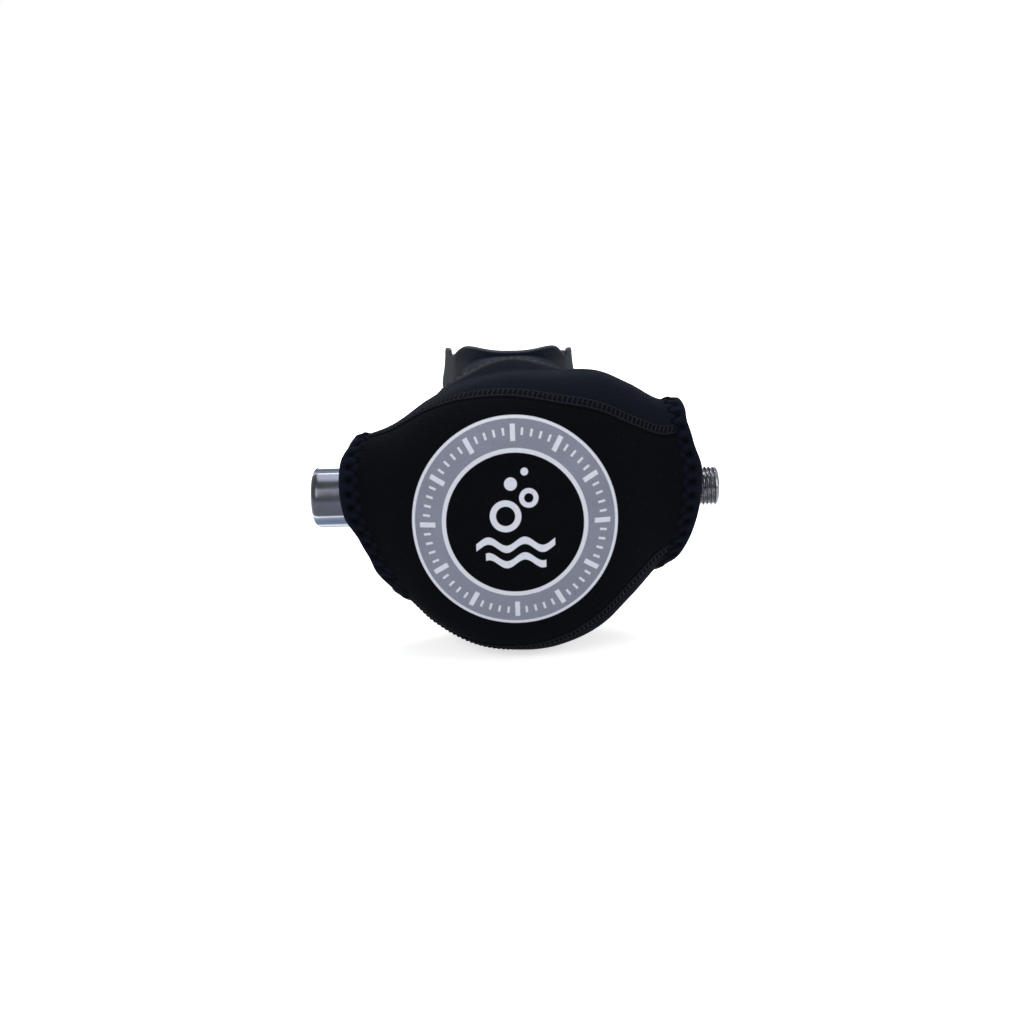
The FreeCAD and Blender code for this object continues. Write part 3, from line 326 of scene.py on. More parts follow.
def mixed(share, first, second):
    """A mix of two colours, where the share is another node's output."""
    node = add_node(share.id_data, "Mix", {"Factor": share}, data_type="RGBA")
    join(first, node.inputs[6])
    join(second, node.inputs[7])
    return node.outputs[2]


print("sums of sockets can be made")

# %% Noise by the millimetre, and node groups


def spot_in(tree):
    """Where on the object a ray lands, in metres."""
    return add_node(tree, "TexCoord").outputs["Object"]


def per_metre(size_mm):
    """How many times a size in millimetres goes into a metre."""
    return calc("DIVIDE", 1000.0, size_mm)


def noisy(spot, scale, detail, **more):
    """Cloudy noise from 0 to 1."""
    inputs = {"Vector": spot, "Scale": scale, "Detail": detail, **more}
    return add_node(spot.id_data, "TexNoise", inputs).outputs[0]


def new_group(name, inputs, outputs):
    """An empty group with the sockets inside it: inputs come with their defaults, and all are numbers."""
    group = bpy.data.node_groups.new(name, "ShaderNodeTree")
    for label, default in inputs.items():
        socket = group.interface.new_socket(label, in_out="INPUT", socket_type="NodeSocketFloat")
        socket.default_value = default
    for label in outputs:
        group.interface.new_socket(label, in_out="OUTPUT", socket_type="NodeSocketFloat")
    return group, group.nodes.new("NodeGroupInput").outputs, group.nodes.new("NodeGroupOutput").inputs


def set_sockets(node, values):
    """Fixed values in a node's inputs; underscores in a value's name stand for spaces in the socket's."""
    for key, value in values.items():
        node.inputs[key.replace("_", " ")].default_value = value


def placed(tree, group, **values):
    """The outputs of a group placed in a tree."""
    node = add_node(tree, "Group", node_tree=group)
    set_sockets(node, values)
    return node.outputs


print("node helpers ready")

# %% [markdown]
# ## Effects that several finishes share
#
# `fine grain` is the pebble of moulded plastic and rubber, `smudges` the cloudy handling marks on polished and
# moulded things, `edge wear` the pale rub along corners, and `knit face` the tiny looped rows of the nylon jersey
# that neoprene is laminated with.

# %% Fine grain
grain_group, grain_in, grain_out = new_group(
    "fine grain", {"Size mm": 0.5, "Stretch": 1.0}, ("Height", "Mask")
)
grain_shape = add_node(grain_group, "CombineXYZ", {0: 1.0, 1: grain_in["Stretch"], 2: grain_in["Stretch"]})
grain_spot = add_node(
    grain_group, "VectorMath", {0: spot_in(grain_group), 1: grain_shape.outputs[0]}, operation="MULTIPLY"
).outputs[0]
grain_noise = noisy(grain_spot, per_metre(grain_in["Size mm"]), 4.0, Roughness=0.6)
join(grain_noise, grain_out["Height"])
join(ramp(grain_noise, 0.38, 0.62), grain_out["Mask"])
print("fine grain ready")

# %% Smudges
smudge_group, smudge_in, smudge_out = new_group("smudges", {"Size mm": 12.0, "Sharpness": 0.5}, ("Mask",))
smudge_noise = noisy(
    spot_in(smudge_group), per_metre(smudge_in["Size mm"]), 6.0, Roughness=0.62, Distortion=0.8
)
smudge_half = times(minus(1.0, smudge_in["Sharpness"]), 0.5)
join(ramp(smudge_noise, minus(0.5, smudge_half), plus(0.52, smudge_half)), smudge_out["Mask"])
print("smudges ready")

# %% Edge wear
wear_group, wear_in, wear_out = new_group("edge wear", {"Amount": 0.5, "Size mm": 2.0}, ("Mask",))
wear_edge = add_node(wear_group, "NewGeometry").outputs["Pointiness"]
wear_shift = times(minus(noisy(spot_in(wear_group), per_metre(wear_in["Size mm"]), 5.0), 0.5), 0.12)
join(times(ramp(plus(wear_edge, wear_shift), 0.52, 0.62), wear_in["Amount"]), wear_out["Mask"])
print("edge wear ready")

# %% Knit face
knit_group, knit_in, knit_out = new_group(
    "knit face", {"Stitch mm": 0.7, "Fuzz": 0.5}, ("Height", "Shade", "Lint")
)
knit_spot, knit_count = spot_in(knit_group), per_metre(knit_in["Stitch mm"])
knit_long = add_node(knit_group, "VectorMath", {0: knit_spot, 1: (0.55, 1.0, 1.0)}, operation="MULTIPLY")
knit_cells = add_node(
    knit_group, "TexVoronoi", {"Vector": knit_long.outputs[0], "Scale": knit_count, "Randomness": 0.75}
)
knit_rows = add_node(
    knit_group, "TexWave",
    {"Vector": knit_spot, "Scale": times(knit_count, 0.16), "Distortion": 1.6, "Detail": 2.0,
     "Detail Scale": 2.0},
    bands_direction="Z",
)
knit_fibre = noisy(knit_spot, times(knit_count, 2.4), 3.0)
knit_loops = minus(1.0, knit_cells.outputs["Distance"])
knit_height = plus(times(knit_loops, 0.7), knit_rows.outputs["Fac"])
join(plus(knit_height, times(knit_fibre, knit_in["Fuzz"])), knit_out["Height"])
join(times(plus(knit_loops, knit_fibre), 0.55, True), knit_out["Shade"])
join(ramp(noisy(knit_spot, 900.0, 2.0), 0.68, 0.74), knit_out["Lint"])
print("knit face ready")

# %% [markdown]
# ## The round print
#
# The cover's face carries a printed badge: a pale-rimmed grey ring round a black centre. Here the ring is a plain
# scale of pale bars and the centre holds bubbles that rise from two waves. It is drawn by distances from the middle
# of the print, so it keeps its edges at any zoom, and the knit shows through it.

# %% Print masks
rim_radius, rim_width, inner_radius, inner_width = 35.5, 1.05, 25.2, 1.5
print_tall, print_drop, print_ends_y = 1.045, -3.9, -12.0
ink_soft = 0.12
nowhere = -1.0  # lower than every distance
wave_length, wave_tall, stroke_half = 12.5, 1.5, 1.25

print_group, _, print_out = new_group("round print", {}, ("Ring", "Line"))
print_part = add_node(print_group, "SeparateXYZ", {0: spot_in(print_group)}).outputs
print_x = minus(times(print_part[0], 1000.0), case_x)
print_z = calc("DIVIDE", minus(times(print_part[2], 1000.0), print_drop), print_tall)


def distance_to(x, z):
    """How far a point of the print lies from (x, z), in millimetres."""
    squares = [calc("POWER", calc("ABSOLUTE", minus(a, b)), 2.0) for a, b in ((print_x, x), (print_z, z))]
    return calc("SQRT", plus(*squares))


def either(first, second):
    """The larger of two masks."""
    return calc("MAXIMUM", first, second)


print_radius = distance_to(0.0, 0.0)


def ring(start, end, value=print_radius):
    """A mask of the values between two limits, by default the distances from the middle of the print."""
    return band_mask(value, start, end, ink_soft)


def bars(step_degrees, half_width, start, end):
    """Pale bars that point at the middle of the print, one at every step round it."""
    turn = plus(calc("ARCTAN2", print_x, print_z), 2 * pi)
    across = times(calc("PINGPONG", turn, radians(step_degrees) / 2), print_radius)
    return times(ring(nowhere, half_width, across), ring(start, end))


scale_marks = either(bars(30.0, 0.85, 27.4, 32.8), bars(6.0, 0.4, 29.3, 31.7))
emblem = ring(3.3, 5.4, distance_to(-3.2, 2.6))
for bubble_x, bubble_z, start, end in (
    (4.9, 8.6, 1.6, 3.3), (-1.2, 13.4, nowhere, 2.2), (3.6, 17.4, nowhere, 1.3),
):
    emblem = either(emblem, ring(start, end, distance_to(bubble_x, bubble_z)))
wave_place = minus(print_z, times(calc("SINE", times(print_x, 2 * pi / wave_length)), wave_tall))
for wave_z, wave_reach in ((-7.2, 13.6), (-12.6, 10.4)):
    stroke = ring(wave_z - stroke_half, wave_z + stroke_half, wave_place)
    emblem = either(emblem, times(stroke, ring(nowhere, wave_reach, calc("ABSOLUTE", print_x))))
lines = either(ring(rim_radius - rim_width, rim_radius), ring(inner_radius - inner_width, inner_radius))
on_front = calc("LESS_THAN", print_part[1], print_ends_y * MM)
join(times(ring(inner_radius, rim_radius - rim_width), on_front), print_out["Ring"])
join(times(either(lines, either(scale_marks, emblem)), on_front), print_out["Line"])
print("print masks ready")

# %% [markdown]
# ## Finishes
#
# Every finish mixes two near colours over its surface, lets roughness wander between two values and raises a fine
# bump. What is the same all over, such as sheen or metal, is set on the shader itself.

# %% What every finish has


def new_finish(name):
    """A new material with its tree."""
    material = bpy.data.materials.new(name)
    material.use_nodes = True
    return material, material.node_tree


def finish_off(tree, colour, roughness, height, bump, bump_mm=0.1, **sockets):
    """Colour, roughness and bump into a finish's shader, and the values that are the same all over."""
    shader = tree.nodes["Principled BSDF"]
    relief = add_node(tree, "Bump", {"Height": height, "Strength": bump, "Distance": bump_mm * MM})
    join(colour, shader.inputs["Base Color"])
    join(roughness, shader.inputs["Roughness"])
    join(relief.outputs[0], shader.inputs["Normal"])
    set_sockets(shader, sockets)


def point_mark(tree, name):
    """A number that was marked on a mesh's points."""
    return add_node(tree, "Attribute", attribute_name=name).outputs["Fac"]


print("finishes can be started and ended")

# %% Moulded, turned and plated finishes


def surface_finish(name, dark, pale, roughness, grain_mm, bump, wear=0.0, wear_tone=None, stretch=1.0,
                   smudge_mm=14.0, **sockets):
    """A moulded, turned or plated finish: grain, smudges and worn edges over two close colours."""
    material, tree = new_finish(name)
    grain = placed(tree, grain_group, Size_mm=grain_mm, Stretch=stretch)
    smudge = placed(tree, smudge_group, Size_mm=smudge_mm, Sharpness=0.4)["Mask"]
    colour = mixed(smudge, tone(*dark), tone(*pale))
    if wear:
        colour = mixed(placed(tree, wear_group, Amount=wear, Size_mm=2.0)["Mask"], colour, tone(*wear_tone))
    finish_off(tree, colour, ramp(smudge, 0.0, 1.0, *roughness), grain["Height"], bump, **sockets)
    return material


print("surface finishes can be made")

# %% Neoprene


def neoprene_finish(name, dark, pale, stitch_mm, bump, fuzz, printed=False):
    """Knit-faced neoprene, with painted shade where thread pulls dimples and tucks into it, with or without the
    round print over it.
    """
    material, tree = new_finish(name)
    knit = placed(tree, knit_group, Stitch_mm=stitch_mm, Fuzz=fuzz)
    cloud = placed(tree, smudge_group, Size_mm=26.0, Sharpness=0.2)["Mask"]
    cloth = mixed(knit["Shade"], tone(*dark), tone(*pale))
    cloth = mixed(times(cloud, 0.35), cloth, tone(*pale))
    cloth = mixed(times(knit["Lint"], 0.2), cloth, tone(40, 44, 52))
    # Painted shade: darker in the hems' dimples and tucks.
    cloth = mixed(times(point_mark(tree, "dimple_shade_paint"), 0.85, True), cloth, tone(1, 1, 2))
    height = knit["Height"]
    if printed:
        ink = placed(tree, print_group)
        gaps = minus(1.0, times(knit["Lint"], 0.3))
        grey = mixed(cloud, tone(112, 115, 128), tone(134, 138, 154))
        grey = mixed(times(knit["Shade"], 0.25), grey, tone(92, 95, 106))
        cloth = mixed(times(ink["Ring"], gaps), cloth, grey)
        pale_ink = mixed(knit["Shade"], tone(204, 206, 216), tone(190, 193, 204))
        cloth = mixed(times(ink["Line"], gaps), cloth, pale_ink)
        height = times(height, minus(1.0, times(plus(ink["Ring"], ink["Line"], True), 0.45)))
    finish_off(tree, cloth, ramp(cloud, 0.0, 1.0, 0.78, 0.92), height, bump, 0.15, Specular_IOR_Level=0.02,
               Sheen_Weight=0.01, Sheen_Roughness=0.5, Sheen_Tint=tone(180, 195, 225))
    return material


print("neoprene can be made")

# %% The finishes
# neoprene: name, dark and pale tone, stitch in mm, bump, fuzz
# surfaces: name, dark and pale tone, roughness from and to, grain in mm, bump, how much wear, tone of the wear
finishes = {
    # Painted light and shade: the face panel's neoprene gets darker tones than the same neoprene of the top and
    # bottom panels, for the shade on the face under light from above.
    "neoprene": neoprene_finish("knit neoprene with painted light", (7, 9, 14), (15, 18, 26), 0.7, 0.3, 0.6),
    "printed_neoprene": neoprene_finish("printed neoprene with painted shade", (4, 5, 7), (9, 10, 13), 0.7, 0.28, 0.6, True),
    "neoprene_hem": neoprene_finish("folded neoprene", (7, 9, 15), (16, 20, 30), 0.6, 0.4, 0.8),
    "binding_tape": surface_finish(
        "binding tape", (13, 16, 21), (22, 26, 33), (0.6, 0.78), 0.5, 0.3, stretch=4.0, smudge_mm=10.0,
        Specular_IOR_Level=0.15),
    "thread": surface_finish(
        "sewing thread", (7, 9, 14), (15, 19, 27), (0.6, 0.8), 0.12, 0.4, stretch=3.0, smudge_mm=5.0,
        Specular_IOR_Level=0.1),
    "hem_thread": surface_finish(
        "hem thread", (4, 5, 8), (9, 11, 17), (0.65, 0.85), 0.12, 0.4, stretch=3.0, smudge_mm=5.0,
        Specular_IOR_Level=0.03),
    "chromed_brass": surface_finish(
        "chrome plate", (98, 95, 93), (134, 138, 148), (0.1, 0.24), 0.25, 0.03, 0.4, (196, 198, 204),
        smudge_mm=9.0, Metallic=1.0),
    "bare_brass": surface_finish(
        "turned brass", (176, 142, 78), (200, 168, 100), (0.22, 0.38), 0.2, 0.08, 0.5, (220, 195, 130),
        stretch=6.0, Metallic=1.0),
    "steel": surface_finish(
        "stainless steel", (150, 152, 154), (178, 180, 182), (0.2, 0.35), 0.2, 0.06, 0.4, (205, 206, 208),
        stretch=5.0, Metallic=1.0),
    "spring_steel": surface_finish(
        "spring wire", (120, 122, 126), (160, 162, 166), (0.25, 0.4), 0.15, 0.08, stretch=0.3, Metallic=1.0),
    "black_shell": surface_finish(
        "moulded case", (16, 17, 19), (24, 25, 28), (0.4, 0.55), 0.35, 0.12, 0.35, (60, 62, 66),
        Specular_IOR_Level=0.25),
    "white_plastic": surface_finish(
        "white acetal", (214, 212, 204), (228, 227, 221), (0.35, 0.5), 0.4, 0.06, 0.3, (238, 238, 234)),
    "clear_silicone": surface_finish(
        "milky silicone", (168, 170, 168), (190, 192, 190), (0.3, 0.42), 0.5, 0.05,
        Subsurface_Weight=0.3, Subsurface_Scale=0.002),
    "hood_rubber": surface_finish(
        "hood rubber", (17, 18, 20), (27, 28, 31), (0.45, 0.62), 0.3, 0.12, 0.3, (48, 49, 52),
        Specular_IOR_Level=0.2),
    "seal_rubber": surface_finish("seal rubber", (12, 12, 13), (22, 22, 24), (0.4, 0.55), 0.3, 0.08),
    "black_nylon": surface_finish(
        "tie nylon", (14, 15, 17), (25, 26, 29), (0.3, 0.42), 0.3, 0.08, 0.3, (52, 54, 58),
        Specular_IOR_Level=0.25),
}
print("finishes", sorted(finishes))

# %% Mouth silicone


def mouth_finish():
    """Smoky silicone: near-black navy where it is thick, with painted light, a paler grey, where light shines
    through its thin edges.
    """
    material, tree = new_finish("mouth silicone")
    grain = placed(tree, grain_group, Size_mm=0.6, Stretch=1.0)
    smudge = placed(tree, smudge_group, Size_mm=16.0, Sharpness=0.3)["Mask"]
    body = mixed(smudge, tone(12, 17, 26), tone(19, 26, 38))
    # Painted light: paler grey where the marks say light shines through the thin silicone.
    colour = mixed(times(point_mark(tree, "through_light_paint"), 0.8, True), body, tone(68, 71, 75))
    finish_off(tree, colour, ramp(smudge, 0.0, 1.0, 0.42, 0.56), grain["Height"], 0.05,
               Specular_IOR_Level=0.15, Subsurface_Weight=0.08, Subsurface_Scale=0.002,
               Subsurface_Radius=(0.6, 0.8, 1.0))
    return material


finishes["mouth_silicone"] = mouth_finish()
print("mouth silicone ready")

# %% Knob chrome


def knob_finish():
    """Chrome that is brushed satin on the knob's lands and polished in its flutes, with a painted bluish reflection
    in the flutes and a painted highlight line along their edges.
    """
    material, tree = new_finish("knob chrome")
    brushed = placed(tree, grain_group, Size_mm=0.2, Stretch=0.12)
    smudge = placed(tree, smudge_group, Size_mm=8.0, Sharpness=0.3)["Mask"]
    flute = point_mark(tree, "flute")
    land = mixed(smudge, tone(56, 54, 54), tone(68, 73, 86))
    # Painted reflection: the flutes get a pale sky-blue tone.
    flute_painted_reflection = mixed(smudge, tone(76, 87, 106), tone(92, 106, 130))
    colour = mixed(flute, land, flute_painted_reflection)
    # Painted highlight: a bright line along each flute's edges.
    colour = mixed(point_mark(tree, "flute_painted_highlight"), colour, tone(214, 216, 222))
    colour = mixed(times(brushed["Mask"], 0.2), colour, tone(70, 70, 74))
    roughness = times(ramp(smudge, 0.0, 1.0, 0.16, 0.3), minus(1.0, times(flute, 0.5)))
    finish_off(tree, colour, roughness, brushed["Height"], 0.06, Metallic=1.0)
    return material


finishes["knob_chrome"] = knob_finish()
print("knob chrome ready")

# %% Floor
floor_drop, floor_half = 0.2, 1500.0
glow_from, glow_to, glow_near, glow_far = 0.12, 0.5, 0.62, 1.3


def rays_that_see_white(tree):
    """1 for rays from the camera, off a mirror or through glass, 0 for rays that light things."""
    path = add_node(tree, "LightPath").outputs
    return either(either(path["Is Camera Ray"], path["Is Glossy Ray"]), path["Is Transmission Ray"])


floor_material, floor_tree = new_finish("pale floor")
floor_shader = floor_tree.nodes["Principled BSDF"]
floor_noise = add_node(floor_tree, "TexNoise", {"Scale": 3.0, "Detail": 2.0}).outputs[0]
join(mixed(floor_noise, (0.8, 0.8, 0.8, 1), (0.83, 0.83, 0.83, 1)), floor_shader.inputs["Base Color"])
set_sockets(floor_shader, {"Roughness": 0.9})
floor_away = add_node(floor_tree, "VectorMath", {0: spot_in(floor_tree)}, operation="LENGTH").outputs["Value"]
floor_glow = add_node(
    floor_tree, "Emission", {"Strength": ramp(floor_away, glow_from, glow_to, glow_near, glow_far)}
)
floor_sum = add_node(floor_tree, "AddShader", {0: floor_shader.outputs[0], 1: floor_glow.outputs[0]})
floor_mix = add_node(
    floor_tree, "MixShader",
    {0: rays_that_see_white(floor_tree), 1: floor_shader.outputs[0], 2: floor_sum.outputs[0]},
)
join(floor_mix.outputs[0], floor_tree.nodes["Material Output"].inputs["Surface"])
floor_z = cad_low.z / MM - floor_drop
floor_corners = [
    (x * floor_half - case_x, y * floor_half, floor_z) for x, y in ((-1, -1), (1, -1), (1, 1), (-1, 1))
]
new_piece("pale_floor", floor_corners, [(0, 1, 2, 3)], floor_material)
print("floor at", round(floor_z, 1), "mm")

# %% World and lamps
world = bpy.data.worlds.new("studio world")
world.use_nodes = True
bpy.context.scene.world = world
sky = world.node_tree
sky.nodes.clear()
seen_white = add_node(sky, "Background", {"Color": (1, 1, 1, 1), "Strength": 1.0})
room_light = add_node(sky, "Background", {"Color": (0.93, 0.96, 1.0, 1), "Strength": 0.33})
sky_mix = add_node(
    sky, "MixShader", {0: rays_that_see_white(sky), 1: room_light.outputs[0], 2: seen_white.outputs[0]}
)
add_node(sky, "OutputWorld", {"Surface": sky_mix.outputs[0]})


def soft_lamp(name, spot, size, watts, colour):
    """A square soft box at a spot in millimetres that looks at the middle of the case."""
    data = bpy.data.lights.new(name, "AREA")
    data.size, data.energy, data.color = size * MM, watts, colour
    lamp = in_scene(name, data)
    lamp.location = place(*spot)
    lamp.rotation_euler = (place(0, 0, 0) - lamp.location).to_track_quat("-Z", "Y").to_euler()


soft_lamp("overhead box", (-60, 120, 700), 500, 5.6, (0.95, 0.98, 1.0))
soft_lamp("front box", (-380, -620, 420), 420, 2.9, (1.0, 1.0, 1.0))
soft_lamp("side box", (620, -260, 260), 380, 1.8, (1.0, 0.99, 0.97))
print("stage lit by", len(bpy.data.lights), "lamps")

# %% [markdown]
# ## Give the measured pieces their finishes
#
# Each measured piece names a finish in the record. Pieces under the cover keep their measured shape.

# %% Dress the measured pieces
for subpart in frame["record"]["subparts"]:
    for holder in frame["nodes"][subpart["node"]].material_slots:
        holder.material = finishes[subpart["material_slot"]]

# %% [markdown]
# ## The cover's form
#
# Neoprene stretched over a case takes a smooth form: oval sleeves that swell into a boxy drum. It is described by
# a few sections across the barrel, each a squarish oval, with smooth curves between them, and by a brow where the
# mouth tube pushes the top edge up. Everything sewn on the cover, such as panels, hems, seams and thread, asks this
# one surface where it lies.

# %% Sections of the cover
# x, top, bottom, front, back, squareness, seam's depth
cover_sections = (
    (-68, 18.5, -25.4, -15.4, 15.4, 2.2, 2.5),
    (-52, 22.8, -31.4, -18.0, 16.0, 2.4, -4.0),
    (-42, 26.8, -35.0, -23.0, 17.5, 2.7, -9.2),
    (-30, 34.6, -45.5, -26.8, 19.3, 3.1, -14.6),
    (-15, 41.6, -54.2, -28.3, 19.3, 3.2, -19.4),
    (0, 44.2, -57.0, -28.7, 19.3, 3.2, -21.3),
    (15, 43.8, -55.5, -28.3, 19.3, 3.2, -22.5),
    (30, 43.5, -49.0, -26.8, 19.3, 3.1, -22.8),
    (42, 38.6, -38.6, -23.0, 17.8, 2.7, -19.7),
    (52, 33.0, -28.9, -18.0, 16.4, 2.5, -15.2),
    (60, 31.8, -25.2, -15.8, 15.6, 2.4, -12.6),
    (74, 31.2, -23.0, -14.6, 15.0, 2.2, -9.5),
)


def section_slope(k):
    """How each value changes with x at section k, from its two neighbours."""
    before, after = cover_sections[max(k - 1, 0)], cover_sections[min(k + 1, len(cover_sections) - 1)]
    return [(b - a) / (after[0] - before[0]) for a, b in zip(before[1:], after[1:])]


section_slopes = [section_slope(k) for k in range(len(cover_sections))]


def section_at(x):
    """Top, bottom, front, back and squareness of the cover's section at x, and the seam's depth there."""
    k = 0
    while k < len(cover_sections) - 2 and x > cover_sections[k + 1][0]:
        k += 1
    start, end = cover_sections[k], cover_sections[k + 1]
    span = end[0] - start[0]
    u = min(1.0, max(0.0, (x - start[0]) / span))
    from_start, from_end = 2 * u ** 3 - 3 * u ** 2 + 1, 3 * u ** 2 - 2 * u ** 3
    lean_start, lean_end = (u ** 3 - 2 * u ** 2 + u) * span, (u ** 3 - u ** 2) * span
    return [
        a * from_start + b * from_end + p * lean_start + q * lean_end
        for a, b, p, q in zip(start[1:], end[1:], section_slopes[k], section_slopes[k + 1])
    ]


print("sections", len(cover_sections), "from x", cover_sections[0][0], "to", cover_sections[-1][0])

# %% The cover's surface
brow_x, brow_reach, brow_rise, brow_back = -1.0, 18.0, 4.9, 5.0
brow_starts, brow_full = 0.25, 0.6


def cover_skin(x, angle):
    """The cover's outside at x; angle 0 is the face, a quarter turn the top, half a turn the back."""
    top, bottom, front, back, power, _ = section_at(x)
    ahead, up = oval(angle, power)
    corner = max(0.0, -ahead) * max(0.0, up)
    lift = smooth_step(brow_starts, brow_full, corner) * exp(-(((x - brow_x) / brow_reach) ** 2))
    return Vector((
        x,
        (front + back) / 2 - (back - front) / 2 * ahead + brow_back * lift,
        (top + bottom) / 2 + (top - bottom) / 2 * up + brow_rise * lift,
    ))


def cover_normal(x, angle):
    """The way out of the cover."""
    across = cover_skin(x + 0.2, angle) - cover_skin(x - 0.2, angle)
    around = cover_skin(x, angle + 0.01) - cover_skin(x, angle - 0.01)
    return across.cross(around).normalized()


def cover_point(x, angle, lift=0.0):
    """A point so far over the cover's outside."""
    return cover_skin(x, angle) + cover_normal(x, angle) * lift


def round_length(x, angle, half_step):
    """How many millimetres round the cover a radian of the angle is worth."""
    return (cover_skin(x, angle + half_step) - cover_skin(x, angle - half_step)).length / (2 * half_step)


print("cover is", round(cover_skin(0, pi / 2).z - cover_skin(0, -pi / 2).z, 1), "mm tall at its middle")

# %% The sleeves' ends
# end x, radius of the bow, height of its middle, lowest and highest z
left_sleeve = (-61.8, 54.0, 8.5, -30.0, 26.0)
right_sleeve = (66.4, 60.0, 7.0, -27.0, 37.0)
right_bow_below = 0.82
hem_width, neoprene = 7.0, 3.0


def sleeve_edge(sleeve, side, inset, z):
    """Where a sleeve's bowed end lies at height z, pulled in by the inset, with its corners drawn in."""
    end, radius, middle_z, low_z, high_z = sleeve
    inside = min(high_z, max(low_z, z))
    bow = radius - sqrt(radius ** 2 - (inside - middle_z) ** 2)
    if side > 0:
        bow *= right_bow_below if inside < middle_z else 1.0
        drawn_in = 1.6 * smooth_step(10, 20, z) * smooth_step(32, 26, z)
    else:
        drawn_in = 3.2 * smooth_step(13, 22.5, z) ** 2
        drawn_in += 2.2 * smooth_step(-3, -12, z) * smooth_step(-26, -17, z)
    return end - side * (bow + inset + drawn_in * max(0.0, 1 - inset / 12))


print("sleeve ends at x", [round(sleeve_edge(*ends, 0, 0), 1) for ends in ((left_sleeve, -1), (right_sleeve, 1))])

# %% [markdown]
# ## Where the panels meet
#
# Three panels are sewn into the cover: a face panel, and a top and a bottom panel that wrap to the back. Each
# section above says how deep the seam between them lies. On the back the panels stop at an oval opening, which
# lets the mouthpiece and the exhaust out.

# %% Seam line and the back by height
halvings, top_side = 20, 2.1


def seam_angle(x, above=True):
    """The angle of the upper or the lower seam at x."""
    _, _, front, back, power, depth = section_at(x)
    c = min(1.0, max(-1.0, ((front + back) / 2 - depth) / ((back - front) / 2)))
    s = (1 - abs(c) ** power) ** (1 / power)
    return atan2(s, c) if above else -atan2(s, c)


def back_angle(x, z):
    """The angle of the back point at height z; the brow's half is searched by halving."""
    top, bottom, _, _, power, _ = section_at(x)
    share = (z - (top + bottom) / 2) / ((top - bottom) / 2)
    if share <= 0:
        s = max(-0.999, share)
        return atan2(s, -((1 - abs(s) ** power) ** (1 / power)))
    near, far = top_side, pi
    for _ in range(halvings):
        middle = (near + far) / 2
        if cover_skin(x, middle).z > z:
            near = middle
        else:
            far = middle
    return far


print("seam lies", round(section_at(0)[5], 1), "mm deep at the middle of the face")

# %% Back opening
opening_half_wide, opening_half_tall, opening_z, opening_power = 33.0, 44.75, -0.75, 2.2
split_z = 4.0


def back_end_at(x, above):
    """Where a side panel ends on the back: at the opening's edge or, past its ends, at the split line."""
    inside = 1 - (abs(x) / opening_half_wide) ** opening_power
    half = opening_half_tall * max(0.0, inside) ** (1 / opening_power)
    height = split_z
    if inside > 0:
        height = max(split_z, opening_z + half) if above else min(split_z, opening_z - half)
    angle = back_angle(x, height)
    if above:
        return angle if angle > 0 else angle + 2 * pi
    return angle if angle < 0 else angle - 2 * pi


table_from, table_step, table_size = -70.0, 0.4, 360
back_ends = {
    above: [back_end_at(table_from + k * table_step, above) for k in range(table_size)]
    for above in (True, False)
}


def back_end_angle(x, above=True):
    """Where a side panel ends on the back, read from the table worked out above."""
    where = (x - table_from) / table_step
    k = min(table_size - 2, max(0, int(where)))
    return blend_values(back_ends[above][k], back_ends[above][k + 1], where - k)


print("top panel ends at", round(cover_skin(0, back_end_angle(0)).z, 1), "mm over the middle of the back")

# %% Panels as sheets with thickness
relief_seed, relief_tall, relief_border = 7.0, 0.35, 6.0
groove_deep, groove_wide = 0.55, 0.7


def cloth_relief(spot):
    """Slow swells of stretched foam, a few tenths of a millimetre high."""
    broad = noise(Vector((spot.x / 21 + relief_seed, spot.y / 16, spot.z / 19)))
    close = noise(Vector((spot.x / 7 + relief_seed, spot.y / 7 + 3, spot.z / 8)))
    return relief_tall * (0.75 * broad + 0.25 * close)


def sewn_panel(name, low_angle, high_angle, columns, rows, finish, groove_low, groove_high):
    """One panel between two edges given as angles over x, ending at the hems' inner borders."""
    outer, inner = [], []
    for i in range(rows):
        share_v = 0.5 - 0.5 * cos(pi * i / (rows - 1))
        for j in range(columns):
            share_u = j / (columns - 1)
            x = blend_values(left_sleeve[0] + hem_width, right_sleeve[0] - hem_width, share_u)
            for _ in range(5):
                angle = blend_values(low_angle(x), high_angle(x), share_v)
                z = cover_skin(x, angle).z
                left = sleeve_edge(left_sleeve, -1, hem_width, z)
                x = blend_values(left, sleeve_edge(right_sleeve, 1, hem_width, z), share_u)
            spot = cover_skin(x, angle)
            to_low = (spot - cover_skin(x, low_angle(x))).length
            to_high = (spot - cover_skin(x, high_angle(x))).length
            lift = cloth_relief(spot) * smooth_step(0, relief_border, min(to_low, to_high))
            for sewn, away in ((groove_low, to_low), (groove_high, to_high)):
                lift -= sewn * groove_deep * exp(-((away / groove_wide) ** 2))
            outer.append(cover_point(x, angle, lift))
            inner.append(cover_point(x, angle, -neoprene))
    return new_piece(name, outer + inner, shell_faces(rows, columns), finish, 60)


print("panels can be sewn")

# %% The three panels


def lower_seam(x):
    """The angle of the seam under the face."""
    return seam_angle(x, False)


face_panel = sewn_panel("face_panel", lower_seam, seam_angle, 130, 110, finishes["printed_neoprene"], 1, 1)
top_panel = sewn_panel("top_panel", seam_angle, back_end_angle, 150, 70, finishes["neoprene"], 1, 0)
bottom_panel = sewn_panel(
    "bottom_panel", lambda x: back_end_angle(x, False), lower_seam, 150, 70, finishes["neoprene"], 0, 1
)
print("panels", [len(piece.data.polygons) for piece in (face_panel, top_panel, bottom_panel)])

# %% [markdown]
# ## Folded hems
#
# Each sleeve ends in a hem: the neoprene is folded back on itself and held by a zigzag of thread that pulls small
# dimples into the fold. The hem is a closed band swept round the sleeve, and the same formula that bends it also
# carries the thread.

